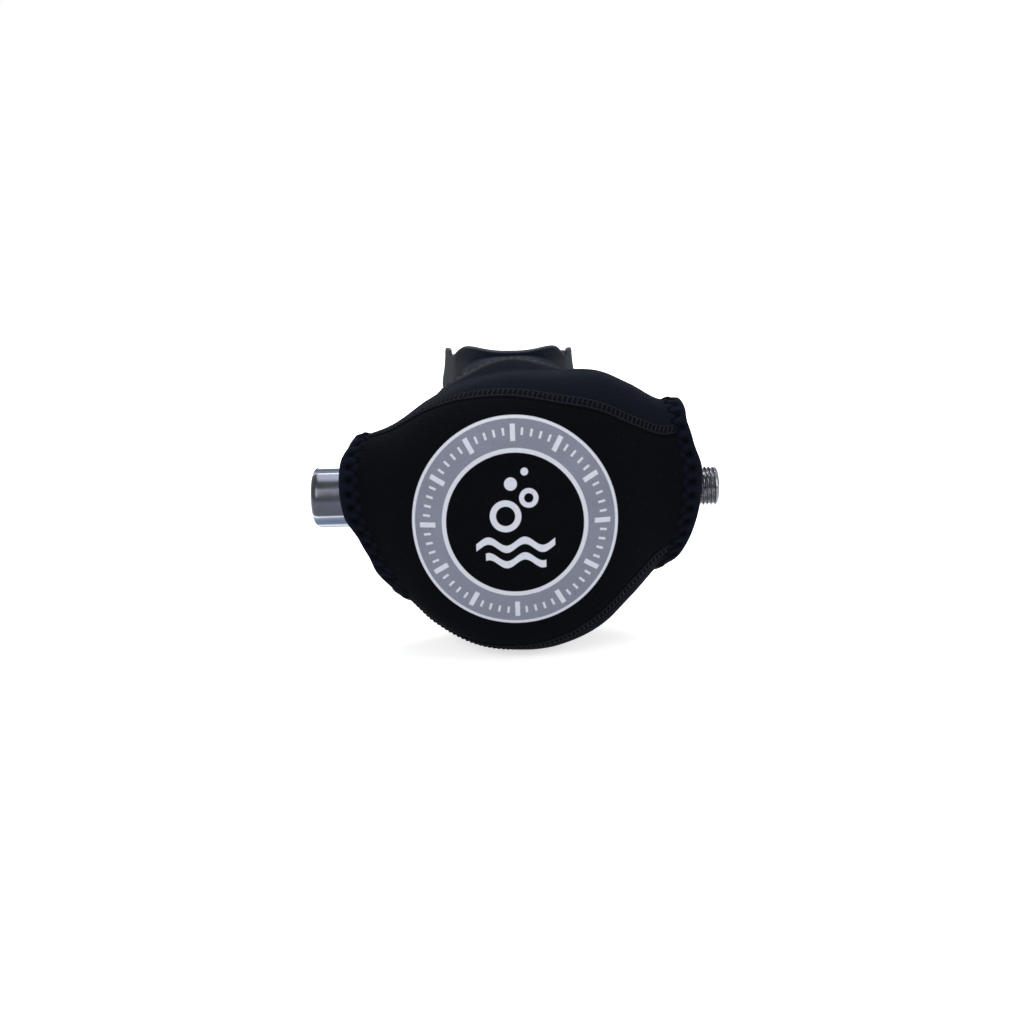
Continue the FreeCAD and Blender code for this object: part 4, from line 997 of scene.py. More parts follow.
# %% The fold's shape
hem_steps = 300
hem_growth, hem_taper, hem_sink, fold_half = 0.8, 3.0, 0.1, 1.9
hem_border = hem_width + 0.35


def hem_spot(sleeve, side, inset, angle, lift):
    """A point on or over a hem, so far in from the sleeve's end, at an angle round it."""
    x = sleeve[0] - side * inset
    for _ in range(6):
        x = sleeve_edge(sleeve, side, inset, cover_skin(x, angle).z)
    return cover_point(x, angle, lift)


def angle_at_length(lengths, length):
    """The angle round a hem that lies so far along its running lengths."""
    length %= lengths[-1]
    k = 0
    while lengths[k + 1] < length:
        k += 1
    share = (length - lengths[k]) / (lengths[k + 1] - lengths[k])
    return 2 * pi * (k + share) / hem_steps - pi


def hem_lift(inset):
    """How high the fold's outside stands; it tapers down to the cover at its sewn border."""
    return -hem_sink + (hem_growth + hem_sink) * smooth_step(0, hem_taper, hem_border - inset)


def hem_profile():
    """The hem's cross-section as (inset, lift) pairs, round the fold and back along the inside."""
    insets = [blend_values(hem_border, fold_half, k / 19) for k in range(19)]
    middle, half = (hem_growth - neoprene) / 2, (hem_growth + neoprene) / 2
    turns = [pi / 2 + pi * k / 10 for k in range(11)]
    outline = [(hem_border + 0.1, -0.4)] + [(inset, hem_lift(inset)) for inset in insets]
    outline += [(fold_half * (1 + cos(turn)), middle + half * sin(turn)) for turn in turns]
    return outline + [(blend_values(fold_half, hem_border, k / 4), -neoprene) for k in range(1, 5)]


print("fold has", len(hem_profile()), "points round")

# %% Hems with dimples, tucks and thread
hem_row_length = 0.55
dimple_row, dimple_depth, dimple_width = 3.7, 1.2, 1.3
tuck_inset, tuck_depth, tuck_long, tuck_wide = hem_width - 0.2, 0.3, 1.0, 0.8
zigzag_pitch, zigzag_steps, zigzag_radius, zigzag_lift, zigzag_dip = 4.9, 12, 0.2, 0.24, 0.9


def sewn_hem(name, sleeve, side):
    """A folded hem with its dimples, and the zigzag thread that lies over it."""
    turns = [2 * pi * k / hem_steps - pi for k in range(hem_steps + 1)]
    ring_spots = [hem_spot(sleeve, side, dimple_row, turn, hem_growth) for turn in turns]
    lengths = [0.0]
    for a, b in zip(ring_spots, ring_spots[1:]):
        lengths.append(lengths[-1] + (b - a).length)
    stitches = round(lengths[-1] / zigzag_pitch)
    pitch = lengths[-1] / stitches
    rows = ceil(lengths[-1] / hem_row_length)
    outline = hem_profile()
    points, dimple_shade_marks = [], []
    for i in range(rows):
        run = lengths[-1] * i / rows
        angle = angle_at_length(lengths, run)
        to_stitch = abs((run / pitch + 0.5) % 1 - 0.5) * pitch
        to_tuck = abs((run / pitch) % 1 - 0.5) * pitch
        for inset, lift in outline:
            pull = tuck = 0.0
            if lift > -0.2:
                pull = exp(-((to_stitch / dimple_width) ** 2) - ((inset - dimple_row) / dimple_width) ** 2)
                tuck = exp(-((to_tuck / tuck_long) ** 2) - ((inset - tuck_inset) / tuck_wide) ** 2)
                puff = 0.25 * sin(pi * min(1, max(0, inset / hem_width)))
                lift = lift + puff - dimple_depth * pull - tuck_depth * tuck
            points.append(hem_spot(sleeve, side, inset, angle, lift))
            dimple_shade_marks.append(max(pull, 0.5 * tuck))
    hem = new_piece(name, points, grid_faces(rows, len(outline), True, True), finishes["neoprene_hem"], 70)
    # Painted shade: the dimples, and the tucks at half strength, are marked to be painted darker.
    mark_points(hem, "dimple_shade_paint", dimple_shade_marks)
    path = []
    for i in range(stitches * zigzag_steps):
        phase = abs((i / zigzag_steps) % 1 - 0.5) * 2
        inset = blend_values(hem_width + 0.5, dimple_row, phase)
        dip = zigzag_dip * (2 * abs(phase - 0.5)) ** 4
        angle = angle_at_length(lengths, pitch * i / zigzag_steps)
        spot = hem_spot(sleeve, side, inset, angle, hem_lift(inset) + zigzag_lift - dip)
        path.append((spot, cover_normal(spot.x, angle)))
    thread = new_piece(name + "_thread", *tube_mesh(path, zigzag_radius, 6, True), finishes["hem_thread"])
    return hem, thread


left_hem, left_thread = sewn_hem("left_hem", left_sleeve, -1)
right_hem, right_thread = sewn_hem("right_hem", right_sleeve, 1)
print("hems", len(left_hem.data.polygons), len(right_hem.data.polygons))

# %% [markdown]
# ## The seam's ladder of thread
#
# A flat seam joins the panels: the needle threads lie across it like the rungs of a ladder, a little slanted, on
# the side away from the face, with a dark groove where the face panel starts. Each rung is a short bent thread.

# %% Ladder seams
rung_pitch, rung_from, rung_to, rung_slant = 1.7, 0.7, 3.3, 0.4
rung_radius, rung_rise, rung_sink = 0.3, 0.42, 0.12
rail_radius, rail_out, rail_lift, rail_bob = 0.24, 0.1, 0.1, 0.16


def ladder_seam(name, above):
    """A seam's rungs and its two rails, from one hem to the other."""
    side = 1 if above else -1

    def on_seam(x, angle, across, lift):
        """A thread's (place, outward) pair, so far across the seam from the angle."""
        angle += side * across / per_angle
        return cover_point(x, angle, lift), cover_normal(x, angle)

    parts, rails, count = [], ([], []), 0
    x = sleeve_edge(left_sleeve, -1, hem_width + 1, cover_skin(-52, seam_angle(-52, above)).z)
    end = sleeve_edge(right_sleeve, 1, hem_width + 1, cover_skin(57, seam_angle(57, above)).z)
    while x < end:
        angle = seam_angle(x, above)
        along = (cover_skin(x + 0.5, seam_angle(x + 0.5, above)) - cover_skin(x, angle)).normalized().x
        per_angle = round_length(x, angle, 0.02)
        rung = []
        for k in range(7):
            slant, across = (k / 6 - 0.5) * 2 * rung_slant, blend_values(rung_from, rung_to, k / 6)
            rung.append(on_seam(x + slant * along, angle, across, rung_rise * sin(pi * k / 6) - rung_sink))
        parts.append(tube_mesh(rung, rung_radius, 6))
        for rail, across in zip(rails, (rung_from - rail_out, rung_to + rail_out)):
            for quarter in range(4):
                rail_x = x + along * rung_pitch * quarter / 4
                lift = rail_lift + rail_bob * cos(2 * pi * quarter / 4)
                rail.append(on_seam(rail_x, seam_angle(rail_x, above), across, lift))
        x += rung_pitch * along
        count += 1
    parts += [tube_mesh(rail, rail_radius, 5) for rail in rails]
    print(name, "has", count, "rungs")
    return new_piece(name, *merge_meshes(parts), finishes["thread"])


top_seam = ladder_seam("top_seam_thread", True)
bottom_seam = ladder_seam("bottom_seam_thread", False)

# %% [markdown]
# ## Binding round the back opening
#
# The raw edge of the opening is bound with a smooth tape, sewn down with short stitches. Over the mouth tube the
# tape climbs the brow, and its upper edge looks out above the top panel.

# %% Binding
binding_width, binding_lift, binding_under = 5.0, 1.2, 0.5
stitch_count, stitch_share, stitch_row, stitch_bow, stitch_radius = 84, 0.68, 3.6, 0.3, 0.2


def binding_spot(turn, growth, lift):
    """A point over the cover's back, so far out from the opening's edge along the surface."""
    ahead, up = oval(turn, opening_power)
    across = copysign(abs(ahead) ** (opening_power - 1) / opening_half_wide, ahead)
    rise = copysign(abs(up) ** (opening_power - 1) / opening_half_tall, up)
    steep = hypot(across, rise)
    x = opening_half_wide * ahead + growth * across / steep
    angle = back_angle(x, opening_z + opening_half_tall * up)
    return cover_point(x, angle - growth * rise / steep / round_length(x, angle, 0.03), lift)


def back_binding():
    """The tape: a squarish oval swept round the opening's edge."""
    rows, sides = 280, 22
    low, high = -(neoprene + binding_under), binding_lift
    outline = []
    for k in range(sides):
        across, out = oval(2 * pi * k / sides, 4)
        outline.append((binding_width / 2 * (1 + across) - 0.25, (low + high) / 2 + (high - low) / 2 * out))
    points = [binding_spot(2 * pi * (i + 0.5) / rows, *corner) for i in range(rows) for corner in outline]
    faces = grid_faces(rows, sides, True, True)
    return new_piece("back_binding", points, faces, finishes["binding_tape"], 70)


def binding_stitches():
    """Short threads near the tape's outer border, each bent down into the tape at its ends."""
    parts = []
    for k in range(stitch_count):
        path = []
        for step in range(7):
            turn = 2 * pi * (k + stitch_share * step / 6) / stitch_count
            lift = binding_lift - stitch_bow + stitch_bow * sin(pi * step / 6)
            spot = binding_spot(turn, stitch_row, lift)
            path.append((spot, spot - binding_spot(turn, stitch_row, 0.0)))
        parts.append(tube_mesh(path, stitch_radius, 6))
    return new_piece("binding_thread", *merge_meshes(parts), finishes["binding_tape"])


binding = back_binding()
binding_thread = binding_stitches()
print("binding", len(binding.data.polygons))

# %% [markdown]
# ## Turned chrome
#
# The knob and the inlet are turned on a lathe, so both are profiles swept round the barrel's axis. The radius may
# change with the angle: that gives the knob its finger flutes, the inlet its hexagon, and the thread its helix.

# %% A lathe along the barrel


def lathe(name, corners, step, shape_radius, turns, finish, sharp_degrees):
    """A closed outline of (x, radius) corners, with points at every step, swept round the X axis."""
    outline = []
    for (x0, r0), (x1, r1) in zip(corners, corners[1:] + corners[:1]):
        pieces = max(1, ceil(hypot(x1 - x0, r1 - r0) / step))
        shares = [k / pieces for k in range(pieces)]
        outline += [(blend_values(x0, x1, share), blend_values(r0, r1, share)) for share in shares]
    points = []
    for k in range(turns):
        angle = 2 * pi * k / turns
        for x, radius in outline:
            r = shape_radius(x, radius, angle)
            points.append((x, -r * sin(angle), r * cos(angle)))
    return new_piece(name, points, grid_faces(turns, len(outline), True, True), finish, sharp_degrees)


print("lathe ready")

# %% Adjusting knob
knob_radius, knob_outer, knob_inner = 11.1, -72.9, -53.6
knob_round, knob_chamfer = 2.8, 0.5
cap_radius, cap_deep, spindle_radius = 6.2, 0.8, 3.0
cavity_radius, cavity_end = 8.4, knob_inner - 7.0
flute_count, flute_radius, flute_depth, flute_turn = 3, 7.0, 0.9, radians(10.0)
flute_end, flute_fade = knob_outer + (knob_inner - knob_outer) * 0.8, 0.6
flute_middle = knob_radius + flute_radius - flute_depth
flute_half = acos(
    (knob_radius ** 2 + flute_middle ** 2 - flute_radius ** 2) / (2 * knob_radius * flute_middle)
)
flute_blur, edge_blur = 0.03, 0.035


def from_flute(angle):
    """The angle to the middle of the nearest flute."""
    step = 2 * pi / flute_count
    return abs(((angle - flute_turn) / step + 0.5) % 1 - 0.5) * step


def fluted(x, radius, angle):
    """The knob's radius where a round cutter has dipped into it, with the dip's end swept out."""
    off = from_flute(angle)
    reach = flute_radius ** 2 - (flute_middle * sin(off)) ** 2
    if radius < cavity_radius + 0.6 or reach <= 0:
        return radius
    fade = smooth_step(flute_end + flute_fade, flute_end - flute_fade, x)
    return radius - max(0.0, radius - flute_middle * cos(off) + sqrt(reach)) * fade


knob_corners = [
    (knob_outer + cap_deep, cap_radius), (knob_outer + 0.1, cap_radius), (knob_outer, cap_radius + 0.15),
]
for turn in [pi / 2 * k / 8 for k in range(9)]:
    knob_corners.append((knob_outer + knob_round * (1 - cos(turn)), knob_radius - knob_round * (1 - sin(turn))))
knob_corners += [
    (knob_inner - knob_chamfer, knob_radius), (knob_inner, knob_radius - knob_chamfer),
    (knob_inner, cavity_radius + 0.2), (knob_inner - 0.2, cavity_radius), (cavity_end, cavity_radius),
    (cavity_end, spindle_radius + 0.25), (knob_outer + 2.6, spindle_radius + 0.25),
    (knob_outer + 2.6, spindle_radius), (knob_outer + cap_deep, spindle_radius),
]
knob = lathe("fluted_knob", knob_corners, 0.55, fluted, 288, finishes["knob_chrome"], 35)
# The flute mask, and a painted highlight line along each flute's edges.
flute_share, flute_highlight_paint = [], []
for vert in knob.data.vertices:
    x, y, z = measured(vert.co)
    off = from_flute(atan2(-y, z))
    cut_half = flute_half if x < flute_end and hypot(y, z) > cavity_radius + 0.6 else 0.0
    flute_share.append(smooth_step(cut_half + flute_blur, cut_half - flute_blur, off))
    flute_highlight_paint.append(0.9 * exp(-((off - cut_half) / edge_blur) ** 2) if cut_half else 0.0)
mark_points(knob, "flute", flute_share)
mark_points(knob, "flute_painted_highlight", flute_highlight_paint)
print("knob", len(knob.data.polygons), "flute is", round(2 * flute_half * knob_radius, 1), "mm wide")

# %% Threaded inlet
thread_radius, thread_pitch, thread_depth, crest_share = 7.14, 25.4 / 18, 0.82, 0.12
run_out_least, run_out_front, run_out_back = 0.15, 0.9, 1.2
inlet_start, inlet_end, inlet_inside, shank_radius = 37.0, 73.8, 2.95, 5.3
thread_start = inlet_end - 19.0
flange_start, flange_end, flange_flats, flange_step = 46.0, 52.0, 19.0, 8.4
flange_corner = flange_flats / 2 / cos(pi / 6)
bore_radius, bore_end, collar_radius, collar_end = 4.5, inlet_end - 12.4, 3.9, inlet_end - 15.0


def inlet_shape(x, radius, angle):
    """Hexagon on the flange, helix on the thread, round elsewhere."""
    if radius > flange_step:
        sixth = (angle + pi / 6) % (pi / 3) - pi / 6
        return min(radius, flange_flats / 2 / cos(sixth))
    if radius < thread_radius - 0.01 or x < thread_start:
        return radius
    phase = ((x - inlet_end) / thread_pitch - angle / (2 * pi)) % 1
    ridge = min(1.0, max(0.0, (abs(phase - 0.5) * 2 - crest_share) / (1 - 2 * crest_share)))
    to_front, to_back = (inlet_end - 0.35 - x) / run_out_front, (x - thread_start) / run_out_back
    run_out = min(1.0, max(run_out_least, to_front), max(run_out_least, to_back))
    return radius - thread_depth * (1 - ridge) * run_out


inlet_corners = [
    (inlet_start, shank_radius), (flange_start, shank_radius), (flange_start, flange_corner - 0.6),
    (flange_start + 0.4, flange_corner), (flange_end - 1.2, flange_corner), (flange_end, flange_corner - 1.3),
    (flange_end, 8.6), (flange_end, 6.3), (thread_start, 6.3), (thread_start + 0.6, thread_radius),
    (inlet_end - 0.7, thread_radius), (inlet_end, thread_radius - 0.8), (inlet_end, bore_radius + 0.3),
    (inlet_end - 0.3, bore_radius), (bore_end, bore_radius), (bore_end, collar_radius),
    (collar_end, collar_radius), (collar_end, inlet_inside), (inlet_start, inlet_inside),
]
inlet = lathe("threaded_inlet", inlet_corners, 0.14, inlet_shape, 120, finishes["chromed_brass"], 50)
print("inlet", len(inlet.data.polygons))

# %% [markdown]
# ## Soft mouthpiece
#
# The mouthpiece is a silicone sleeve that a nylon tie clamps on the mouth tube. It narrows, flares again to a lip
# shield and ends in two bite tabs. It is drawn along +Y from the tube's root and swung up to the tube's tilt. The
# shield's upper corners are thin posts beside deep notches, and its edge dips in the middle for the lip's frenum.

# %% Swung points and smooth outlines
mouth_tilt, mouth_root_y, mouth_root_z = radians(12.0), 13.0, 20.0


def swung(x, y, z):
    """A point drawn along +Y from the mouth tube's root, swung up to the tube's tilt."""
    return Vector((
        x,
        mouth_root_y + y * cos(mouth_tilt) - z * sin(mouth_tilt),
        mouth_root_z + y * sin(mouth_tilt) + z * cos(mouth_tilt),
    ))


def cut_corners(loop, passes):
    """A closed outline made smooth: each pass cuts every corner off at a quarter of its sides."""
    for _ in range(passes):
        loop = [
            (blend_values(a[0], b[0], share), blend_values(a[1], b[1], share))
            for a, b in zip(loop, loop[1:] + loop[:1]) for share in (0.25, 0.75)
        ]
    return loop


print("mouth's axis at 60 mm lies", round(swung(0, 60, 0).z, 1), "mm high")

# %% Slabs cut to an outline
weld_mm = 0.002


def outline_slab(outlines, half, round_size, slices=()):
    """Points and faces of a slab cut to closed outlines, with rounded rims and cuts across its first axis."""
    curve = bpy.data.curves.new("outline", "CURVE")
    curve.dimensions, curve.fill_mode, curve.offset = "2D", "BOTH", -round_size
    curve.extrude, curve.bevel_depth, curve.bevel_resolution = half - round_size, round_size, 2
    for outline in outlines:
        spline = curve.splines.new("POLY")
        spline.points.add(len(outline) - 1)
        for point, (a, b) in zip(spline.points, outline):
            point.co = (a, b, 0, 1)
        spline.use_cyclic_u = True
    holder = bpy.data.objects.new("outline", curve)
    flat = bpy.data.meshes.new_from_object(holder)
    made = bmesh.new()
    made.from_mesh(flat)
    bmesh.ops.remove_doubles(made, verts=made.verts, dist=weld_mm)
    for cut in slices:
        everything = made.verts[:] + made.edges[:] + made.faces[:]
        bmesh.ops.bisect_plane(made, geom=everything, plane_co=(cut, 0, 0), plane_no=(1, 0, 0))
    made.verts.index_update()
    points = [vert.co.copy() for vert in made.verts]
    faces = [tuple(vert.index for vert in face.verts) for face in made.faces]
    made.free()
    bpy.data.objects.remove(holder)
    bpy.data.curves.remove(curve)
    bpy.data.meshes.remove(flat)
    return points, faces


print("slabs can be cut")

# %% Rings and smooth paths


def oval_ring(width, height, power, count):
    """Points round an oval across the first axis and up the second."""
    spots = [oval(2 * pi * k / count, power) for k in range(count)]
    return [(width / 2 * across, height / 2 * up) for across, up in spots]


def smooth_path(stations, pieces):
    """More stations between those given, on smooth curves through them."""
    path = []
    for k in range(len(stations) - 1):
        before, start = stations[max(k - 1, 0)], stations[k]
        end, after = stations[k + 1], stations[min(k + 2, len(stations) - 1)]
        for u in [step / pieces for step in range(pieces)]:
            path.append(tuple(
                b + 0.5 * ((c - a) * u + (2 * a - 5 * b + 4 * c - d) * u ** 2 + (3 * b - a - 3 * c + d) * u ** 3)
                for a, b, c, d in zip(before, start, end, after)
            ))
    return path + [tuple(stations[-1])]


print("rings and paths can be made")

# %% The mouthpiece's sleeve
shield_bend, shield_near, shield_thick, shield_round, shield_twist = 58.0, 51.4, 2.6, 0.6, -0.022
bore_wide, bore_tall = 27.0, 13.0
mouth_power = 2.6


def shield_y(x, deep):
    """How far along the mouth's axis the bent lip shield lies, at x and so deep into its thickness."""
    return shield_near + shield_bend - sqrt((shield_bend - deep) ** 2 - x ** 2)


def sleeve_part():
    """The sleeve: out over the tie's groove and the waist to the shield, and back through the bore."""
    # how far out, width and height of each ring
    groove = [(6.0, 41.1, 27.1), (6.3, 41.9, 27.9), (6.9, 42.3, 28.3), (10.8, 42.3, 28.3), (11.0, 42.0, 28.0),
              (11.0, 40.3, 26.3), (14.6, 40.3, 26.3), (14.6, 42.0, 28.0), (14.8, 42.3, 28.3), (20.0, 42.3, 28.3)]
    waist = [(22.0, 42.3, 28.3), (26.0, 40.2, 26.0), (31.0, 37.6, 23.0), (38.0, 36.8, 21.3), (44.0, 37.2, 20.8),
             (49.0, 39.4, 20.8), (52.6, 42.0, 21.2)]
    bore = [(53.4, bore_wide, bore_tall), (44.0, 27.4, 13.4), (34.0, 28.0, 14.0), (22.4, 32.0, 18.0)]
    socket = [(22.3, 37.9, 23.9), (19.5, 37.9, 23.9), (19.4, 36.3, 22.3), (6.0, 36.3, 22.3)]
    rings = groove + smooth_path(waist, 5) + smooth_path(bore, 4) + socket
    points, count = [], 80
    for y, width, height in rings:
        bend = smooth_step(44, 52, y)
        for x, z in oval_ring(width, height, mouth_power, count):
            points.append(swung(x, y + bend * (shield_y(x, 0) - shield_near), z))
    return points, grid_faces(len(rings), count, True, True)


print("sleeve can be made")

# %% Lip shield and bite tabs


def shield_part():
    """The lip shield, a sheet with a hole for the bore, bent round the mouth."""
    half = [(28.0, -7.0), (27.9, -3.0), (26.8, 2.0), (26.1, 8.0), (26.0, 10.6), (25.5, 11.3), (23.7, 11.3),
            (23.2, 10.6), (23.2, 9.2), (23.0, 8.7), (22.4, 8.8), (20.9, 11.0), (18.9, 12.8), (16.6, 13.3),
            (13.8, 13.1), (9.5, 12.4), (5.0, 12.0)]
    lower = [(24.6, -11.0), (21.5, -12.9), (16.2, -13.4), (11.0, -12.6), (5.0, -10.9)]
    left, right = ([(side * x - 0.7 * smooth_step(18, 24, x), z) for x, z in half] for side in (-1, 1))
    loop = right + [(0.0, 12.0)] + left[::-1] + [(-x, z) for x, z in lower] + [(0.0, -10.4)] + lower[::-1]
    hole = oval_ring(bore_wide, bore_tall, mouth_power, 64)
    cuts = [-28.6 + 1.3 * k for k in range(45)]
    middle = shield_thick / 2
    points, faces = outline_slab([cut_corners(loop, 2), hole], middle, shield_round, cuts)
    return [swung(p.x, shield_y(p.x, middle + p.z), p.y + shield_twist * p.x) for p in points], faces


def bite_parts():
    """Two tongues for the teeth, each with a raised rim along its inner and far edges."""
    parts = []
    tongue = [(11.6, 52.5), (24.0, 54.5), (24.0, 71.8), (21.8, 73.2), (13.2, 73.2), (11.6, 71.8)]
    rim = [(11.0, 61.5), (12.0, 61.0), (13.4, 61.5), (13.4, 71.0), (14.0, 71.6), (23.2, 71.6), (24.0, 72.4),
           (23.4, 73.4), (22.0, 74.0), (13.0, 74.0), (11.0, 72.0)]
    for side in (-1, 1):
        for outline, half, round_size in ((tongue, 1.6, 0.8), (rim, 4.5, 0.9)):
            loop = cut_corners([(side * x, y) for x, y in outline][::side], 2)
            points, faces = outline_slab([loop], half, round_size)
            parts.append(([swung(*p) for p in points], faces))
    return parts


print("shield and tabs can be made")

# %% Mouthpiece
mouth_points, mouth_faces = merge_meshes([sleeve_part(), shield_part()] + bite_parts())
mouthpiece = new_piece("soft_mouthpiece", mouth_points, mouth_faces, finishes["mouth_silicone"], 50)
tabs_start, shield_start = 62.0, 48.0
# Painted light: the shield's side posts, a band level with its bore and the bite tabs are marked paler, for light
# shining through the silicone.
through_light_paint = []
for vert in mouthpiece.data.vertices:
    x, y, z = measured(vert.co)
    y, z = y - mouth_root_y, z - mouth_root_z
    along, rise = y * cos(mouth_tilt) + z * sin(mouth_tilt), z * cos(mouth_tilt) - y * sin(mouth_tilt)
    mark = 0.5 if along >= tabs_start else 0.0
    if shield_start < along < tabs_start:
        mark = max(smooth_step(21.6, 24.0, abs(x)) * 0.9, smooth_step(9.5, 4.5, abs(rise)) * 0.3)
    through_light_paint.append(mark)
mark_points(mouthpiece, "through_light_paint", through_light_paint)
print("mouthpiece", len(mouthpiece.data.polygons))

# %% Tie
band_y, band_half, band_thick = 12.8, 1.6, 0.65


def tie_slab(left, right, low, high, passes, half, round_size, z, slope=0.0):
    """A small rounded block on the band, seen from above as a rectangle, at height z."""
    loop = cut_corners([(left, low), (right, low), (right, high), (left, high)], passes)
    points, faces = outline_slab([loop], half, round_size)
    return [swung(p.x, p.y, z - (p.x - left) * slope + p.z) for p in points], faces


def tie_parts():
    """The tie's band in the sleeve's groove, its ratchet head on top and the cut end of its tail."""
    rows, sides, rings = 120, 14, []
    for j in range(sides):
        across, out = oval(2 * pi * j / sides, 4)
        thick = band_thick * (1 + out) * 2
        rings.append((band_y + band_half * across, oval_ring(40.4 + thick, 26.4 + thick, mouth_power, rows)))
    band = [swung(ring_spots[k][0], y, ring_spots[k][1]) for k in range(rows) for y, ring_spots in rings]
    head = tie_slab(9.0, 14.5, 10.6, 15.0, 2, 1.65, 0.45, 14.9)
    tail = tie_slab(13.0, 18.4, 11.4, 14.2, 1, 0.55, 0.2, 15.4, 0.1)
    return [(band, grid_faces(rows, sides, True, True)), head, tail]


tie = new_piece("nylon_tie", *merge_meshes(tie_parts()), finishes["black_nylon"])
print("tie", len(tie.data.polygons))

# %% [markdown]
# ## Exhaust hood
#
# Used air leaves through a valve in the case's back, and the hood carries it out past both cheeks. The hood is one
# moulding: an oval duct that droops towards its two open ends, with a socket that snaps over the case's collar. The
# duct and the socket are joined, hollowed out and given soft rims.

# %% Duct, socket and fin
hood_wall, hood_rim = 2.4, 0.45
# x, y, z, half depth and half height of the duct, from its middle to an end
hood_stations = (
    (0.0, 30.5, -26.5, 9.8, 17.5), (20.9, 34.5, -35.5, 9.2, 14.5), (38.0, 40.0, -44.0, 10.0, 13.0),
)
hood_fin = (28.0, 39.5, -41.0, -12.0, 0.9)
socket_x, socket_z = 0.0, -25.0


def capped(points, rows, count):
    """Rings of points with their faces and a cap at each end."""
    ends = [tuple(reversed(range(count))), tuple(range((rows - 1) * count, rows * count))]
    return points, grid_faces(rows, count, wrap_columns=True) + ends


def hood_duct(inset, overrun):
    """The duct as a closed solid, so far inside its outer skin and so far past its ends."""
    middle, bend, (end_x, *end) = hood_stations
    end = (end_x + overrun, *end)
    stations = [(-end[0], *end[1:]), (-bend[0], *bend[1:]), middle, bend, end]
    path, points, count = smooth_path(stations, 10), [], 56
    for x, y, z, half_deep, half_tall in path:
        for across, up in oval_ring(2 * (half_deep - inset), 2 * (half_tall - inset), 2.3, count):
            points.append((x, y + across, z + up))
    return capped(points, len(path), count)


def drum_y(radius, start, end, count=72):
    """A closed drum along Y, round the socket's axis."""
    ring_spots = oval_ring(2 * radius, 2 * radius, 2, count)
    points = [(socket_x + x, y, socket_z + z) for y in (start, end) for x, z in ring_spots]
    return capped(points, 2, count)


print("duct and drums can be made")

# %% Solids joined and cut


def carved(name, start, steps, finish, rim):
    """A solid after some ("UNION" or "DIFFERENCE", solid) steps, its edges softened by rim millimetres."""
    piece = new_piece(name, *start, finish)
    tools = [new_piece("tool", *solid, finish) for _, solid in steps]
    for (operation, _), tool in zip(steps, tools):
        cut = piece.modifiers.new("cut", "BOOLEAN")
        cut.operation, cut.solver, cut.object = operation, "EXACT", tool
    soften = piece.modifiers.new("soften", "BEVEL")
    soften.width, soften.segments, soften.limit_method, soften.angle_limit = rim * MM, 2, "ANGLE", radians(45)
    shaped = bpy.data.meshes.new_from_object(piece.evaluated_get(bpy.context.evaluated_depsgraph_get()))
    piece.modifiers.clear()
    piece.data = shaped
    for tool in tools:
        bpy.data.objects.remove(tool)
    shaped.shade_smooth()
    shaped.set_sharp_from_angle(angle=radians(40))
    return piece


print("solids can be carved")

# %% Exhaust hood
fin_near, fin_far, fin_low, fin_high, fin_half = hood_fin
fin_outline = ((fin_near, fin_low), (fin_far, fin_low), (fin_far, fin_high), (fin_near, fin_high))
fin = capped([(x, y, z) for x in (-fin_half, fin_half) for y, z in fin_outline], 2, 4)
hood = carved(
    "exhaust_hood", hood_duct(0.0, 0.0),
    [("UNION", drum_y(19.55, 16.8, 31.0)), ("DIFFERENCE", hood_duct(hood_wall, 1.0)),
     ("DIFFERENCE", drum_y(17.15, 15.8, 20.9)), ("DIFFERENCE", drum_y(14.55, 16.0, 31.0)), ("UNION", fin)],
    finishes["hood_rubber"], hood_rim,
)
print("exhaust hood", len(hood.data.polygons))

# %% [markdown]
# ## Springs
#
# The purge spring is squeezed between the front plate's spider and the button, and the main spring between the
# poppet's nut and the adjuster. Each coil here is drawn at its measured length. The main spring is squeezed from
# both ends; it is drawn as two lengths of one coil that meet at one turn.

# %% A coil


def coil(name, start, end, radii, wire, turns, first_turn, last_turn):
    """Some turns of a coil of round wire that goes from one point and radius to another."""
    side = (end - start).orthogonal().normalized()
    other = (end - start).normalized().cross(side)
    steps = ceil((last_turn - first_turn) * 28)
    path = []
    for k in range(steps + 1):
        done = blend_values(first_turn, last_turn, k / steps)
        outward = side * cos(2 * pi * done) + other * sin(2 * pi * done)
        share = done / turns
        path.append((start.lerp(end, share) + outward * blend_values(*radii, share), outward))
    return new_piece(name, *tube_mesh(path, wire / 2, 10), finishes["spring_steel"])


print("coils can be wound")

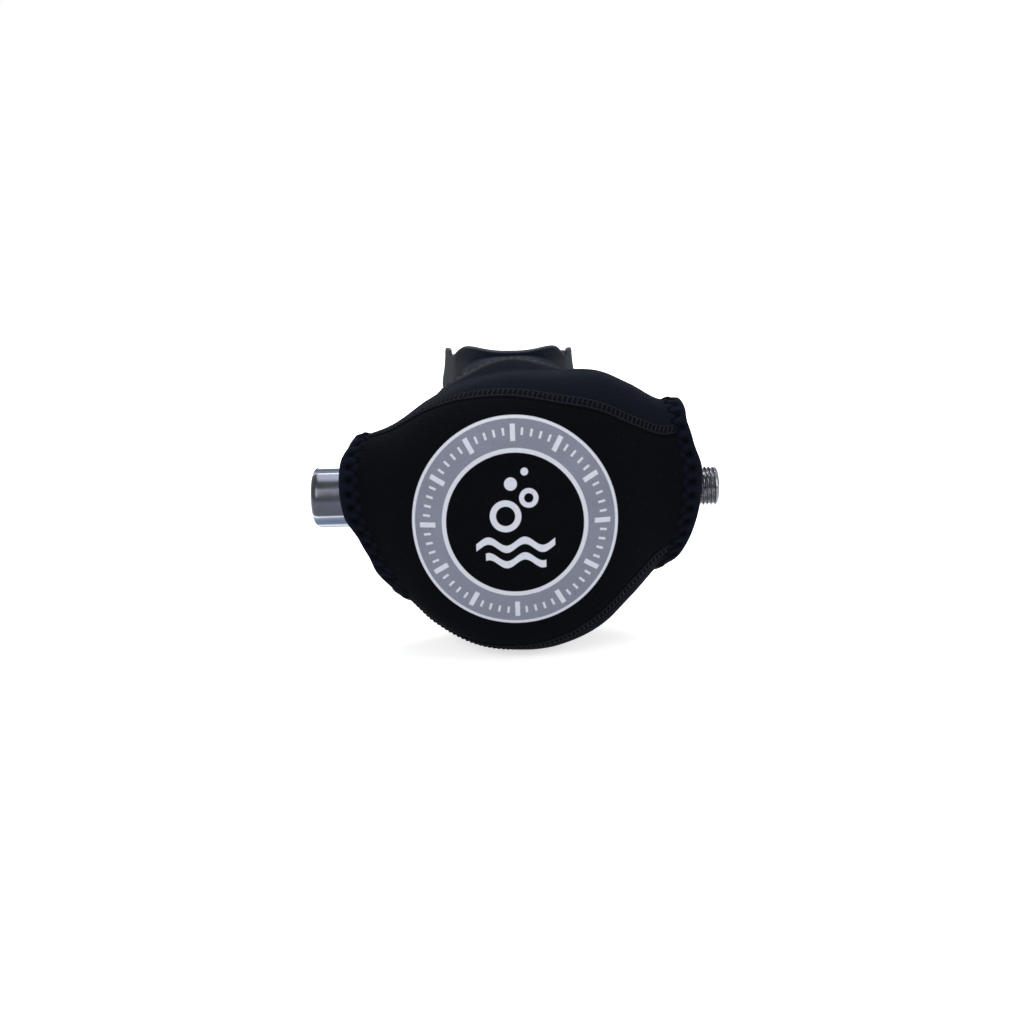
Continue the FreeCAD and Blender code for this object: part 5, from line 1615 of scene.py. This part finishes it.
# %% Purge spring
purge_turns, purge_radii, purge_wire = 3, (6.15, 3.6), 0.6
purge_low, purge_high = [measured(corner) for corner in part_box("purge_spring")]
purge_z = (purge_low[2] + purge_high[2]) / 2
button_end = Vector((0, purge_low[1] + purge_wire / 2, purge_z))
spider_end = Vector((0, purge_high[1] - purge_wire / 2, purge_z))
purge_coil = coil("purge_coil", spider_end, button_end, purge_radii, purge_wire, purge_turns, 0, purge_turns)
print("purge spring is", round((spider_end - button_end).length, 1), "mm long")

# %% Main spring
main_turns, main_still, main_radius, main_wire = 6, 4.65, 4.1, 1.0
main_low, main_high = [measured(corner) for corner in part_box("main_spring")]
adjuster_end = Vector((main_low[0] + main_wire / 2, 0, 0))
nut_end = Vector((main_high[0] - main_wire / 2, 0, 0))
main_shape = (adjuster_end, nut_end, (main_radius, main_radius), main_wire, main_turns)
main_coil = coil("main_coil", *main_shape, 0, main_still)
nut_coil = coil("main_coil_nut_end", *main_shape, main_still, main_turns)

# %% [markdown]
# ## Put each piece on what carries it
#
# The cover and everything sewn to it belong to the housing, all but the face panel, which rides on nothing. Its
# face gives way under a thumb.

# %% Ride and replace
for piece, slot, node in (
    (top_panel, "neoprene", "cover_top_panel"), (bottom_panel, "neoprene", "cover_bottom_panel"),
    (left_hem, "neoprene_hem", "cover_left_hem"), (right_hem, "neoprene_hem", "cover_right_hem"),
    (binding, "neoprene_hem", "cover_back_binding"), (inlet, "chromed_brass", "inlet_fitting"),
    (mouthpiece, "mouth_silicone", "mouthpiece"), (tie, "black_nylon", "mouthpiece_tie"),
    (hood, "hood_rubber", "exhaust_tee"), (left_thread, "neoprene_hem", None),
    (right_thread, "neoprene_hem", None), (binding_thread, "neoprene_hem", None),
    (top_seam, "neoprene", None), (bottom_seam, "neoprene", None),
):
    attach(piece, "housing")
    if node:
        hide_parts(node)
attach(knob, "knob")
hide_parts("adjusting_knob")
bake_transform(face_panel)
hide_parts("cover_face_panel")
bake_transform(purge_coil)
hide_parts("purge_spring")
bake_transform(main_coil)
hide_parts("main_spring")
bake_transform(nut_coil)
print("pieces placed")

# %% Measure and finish
print("cad", [round(v / MM, 1) for v in cad_high - cad_low])
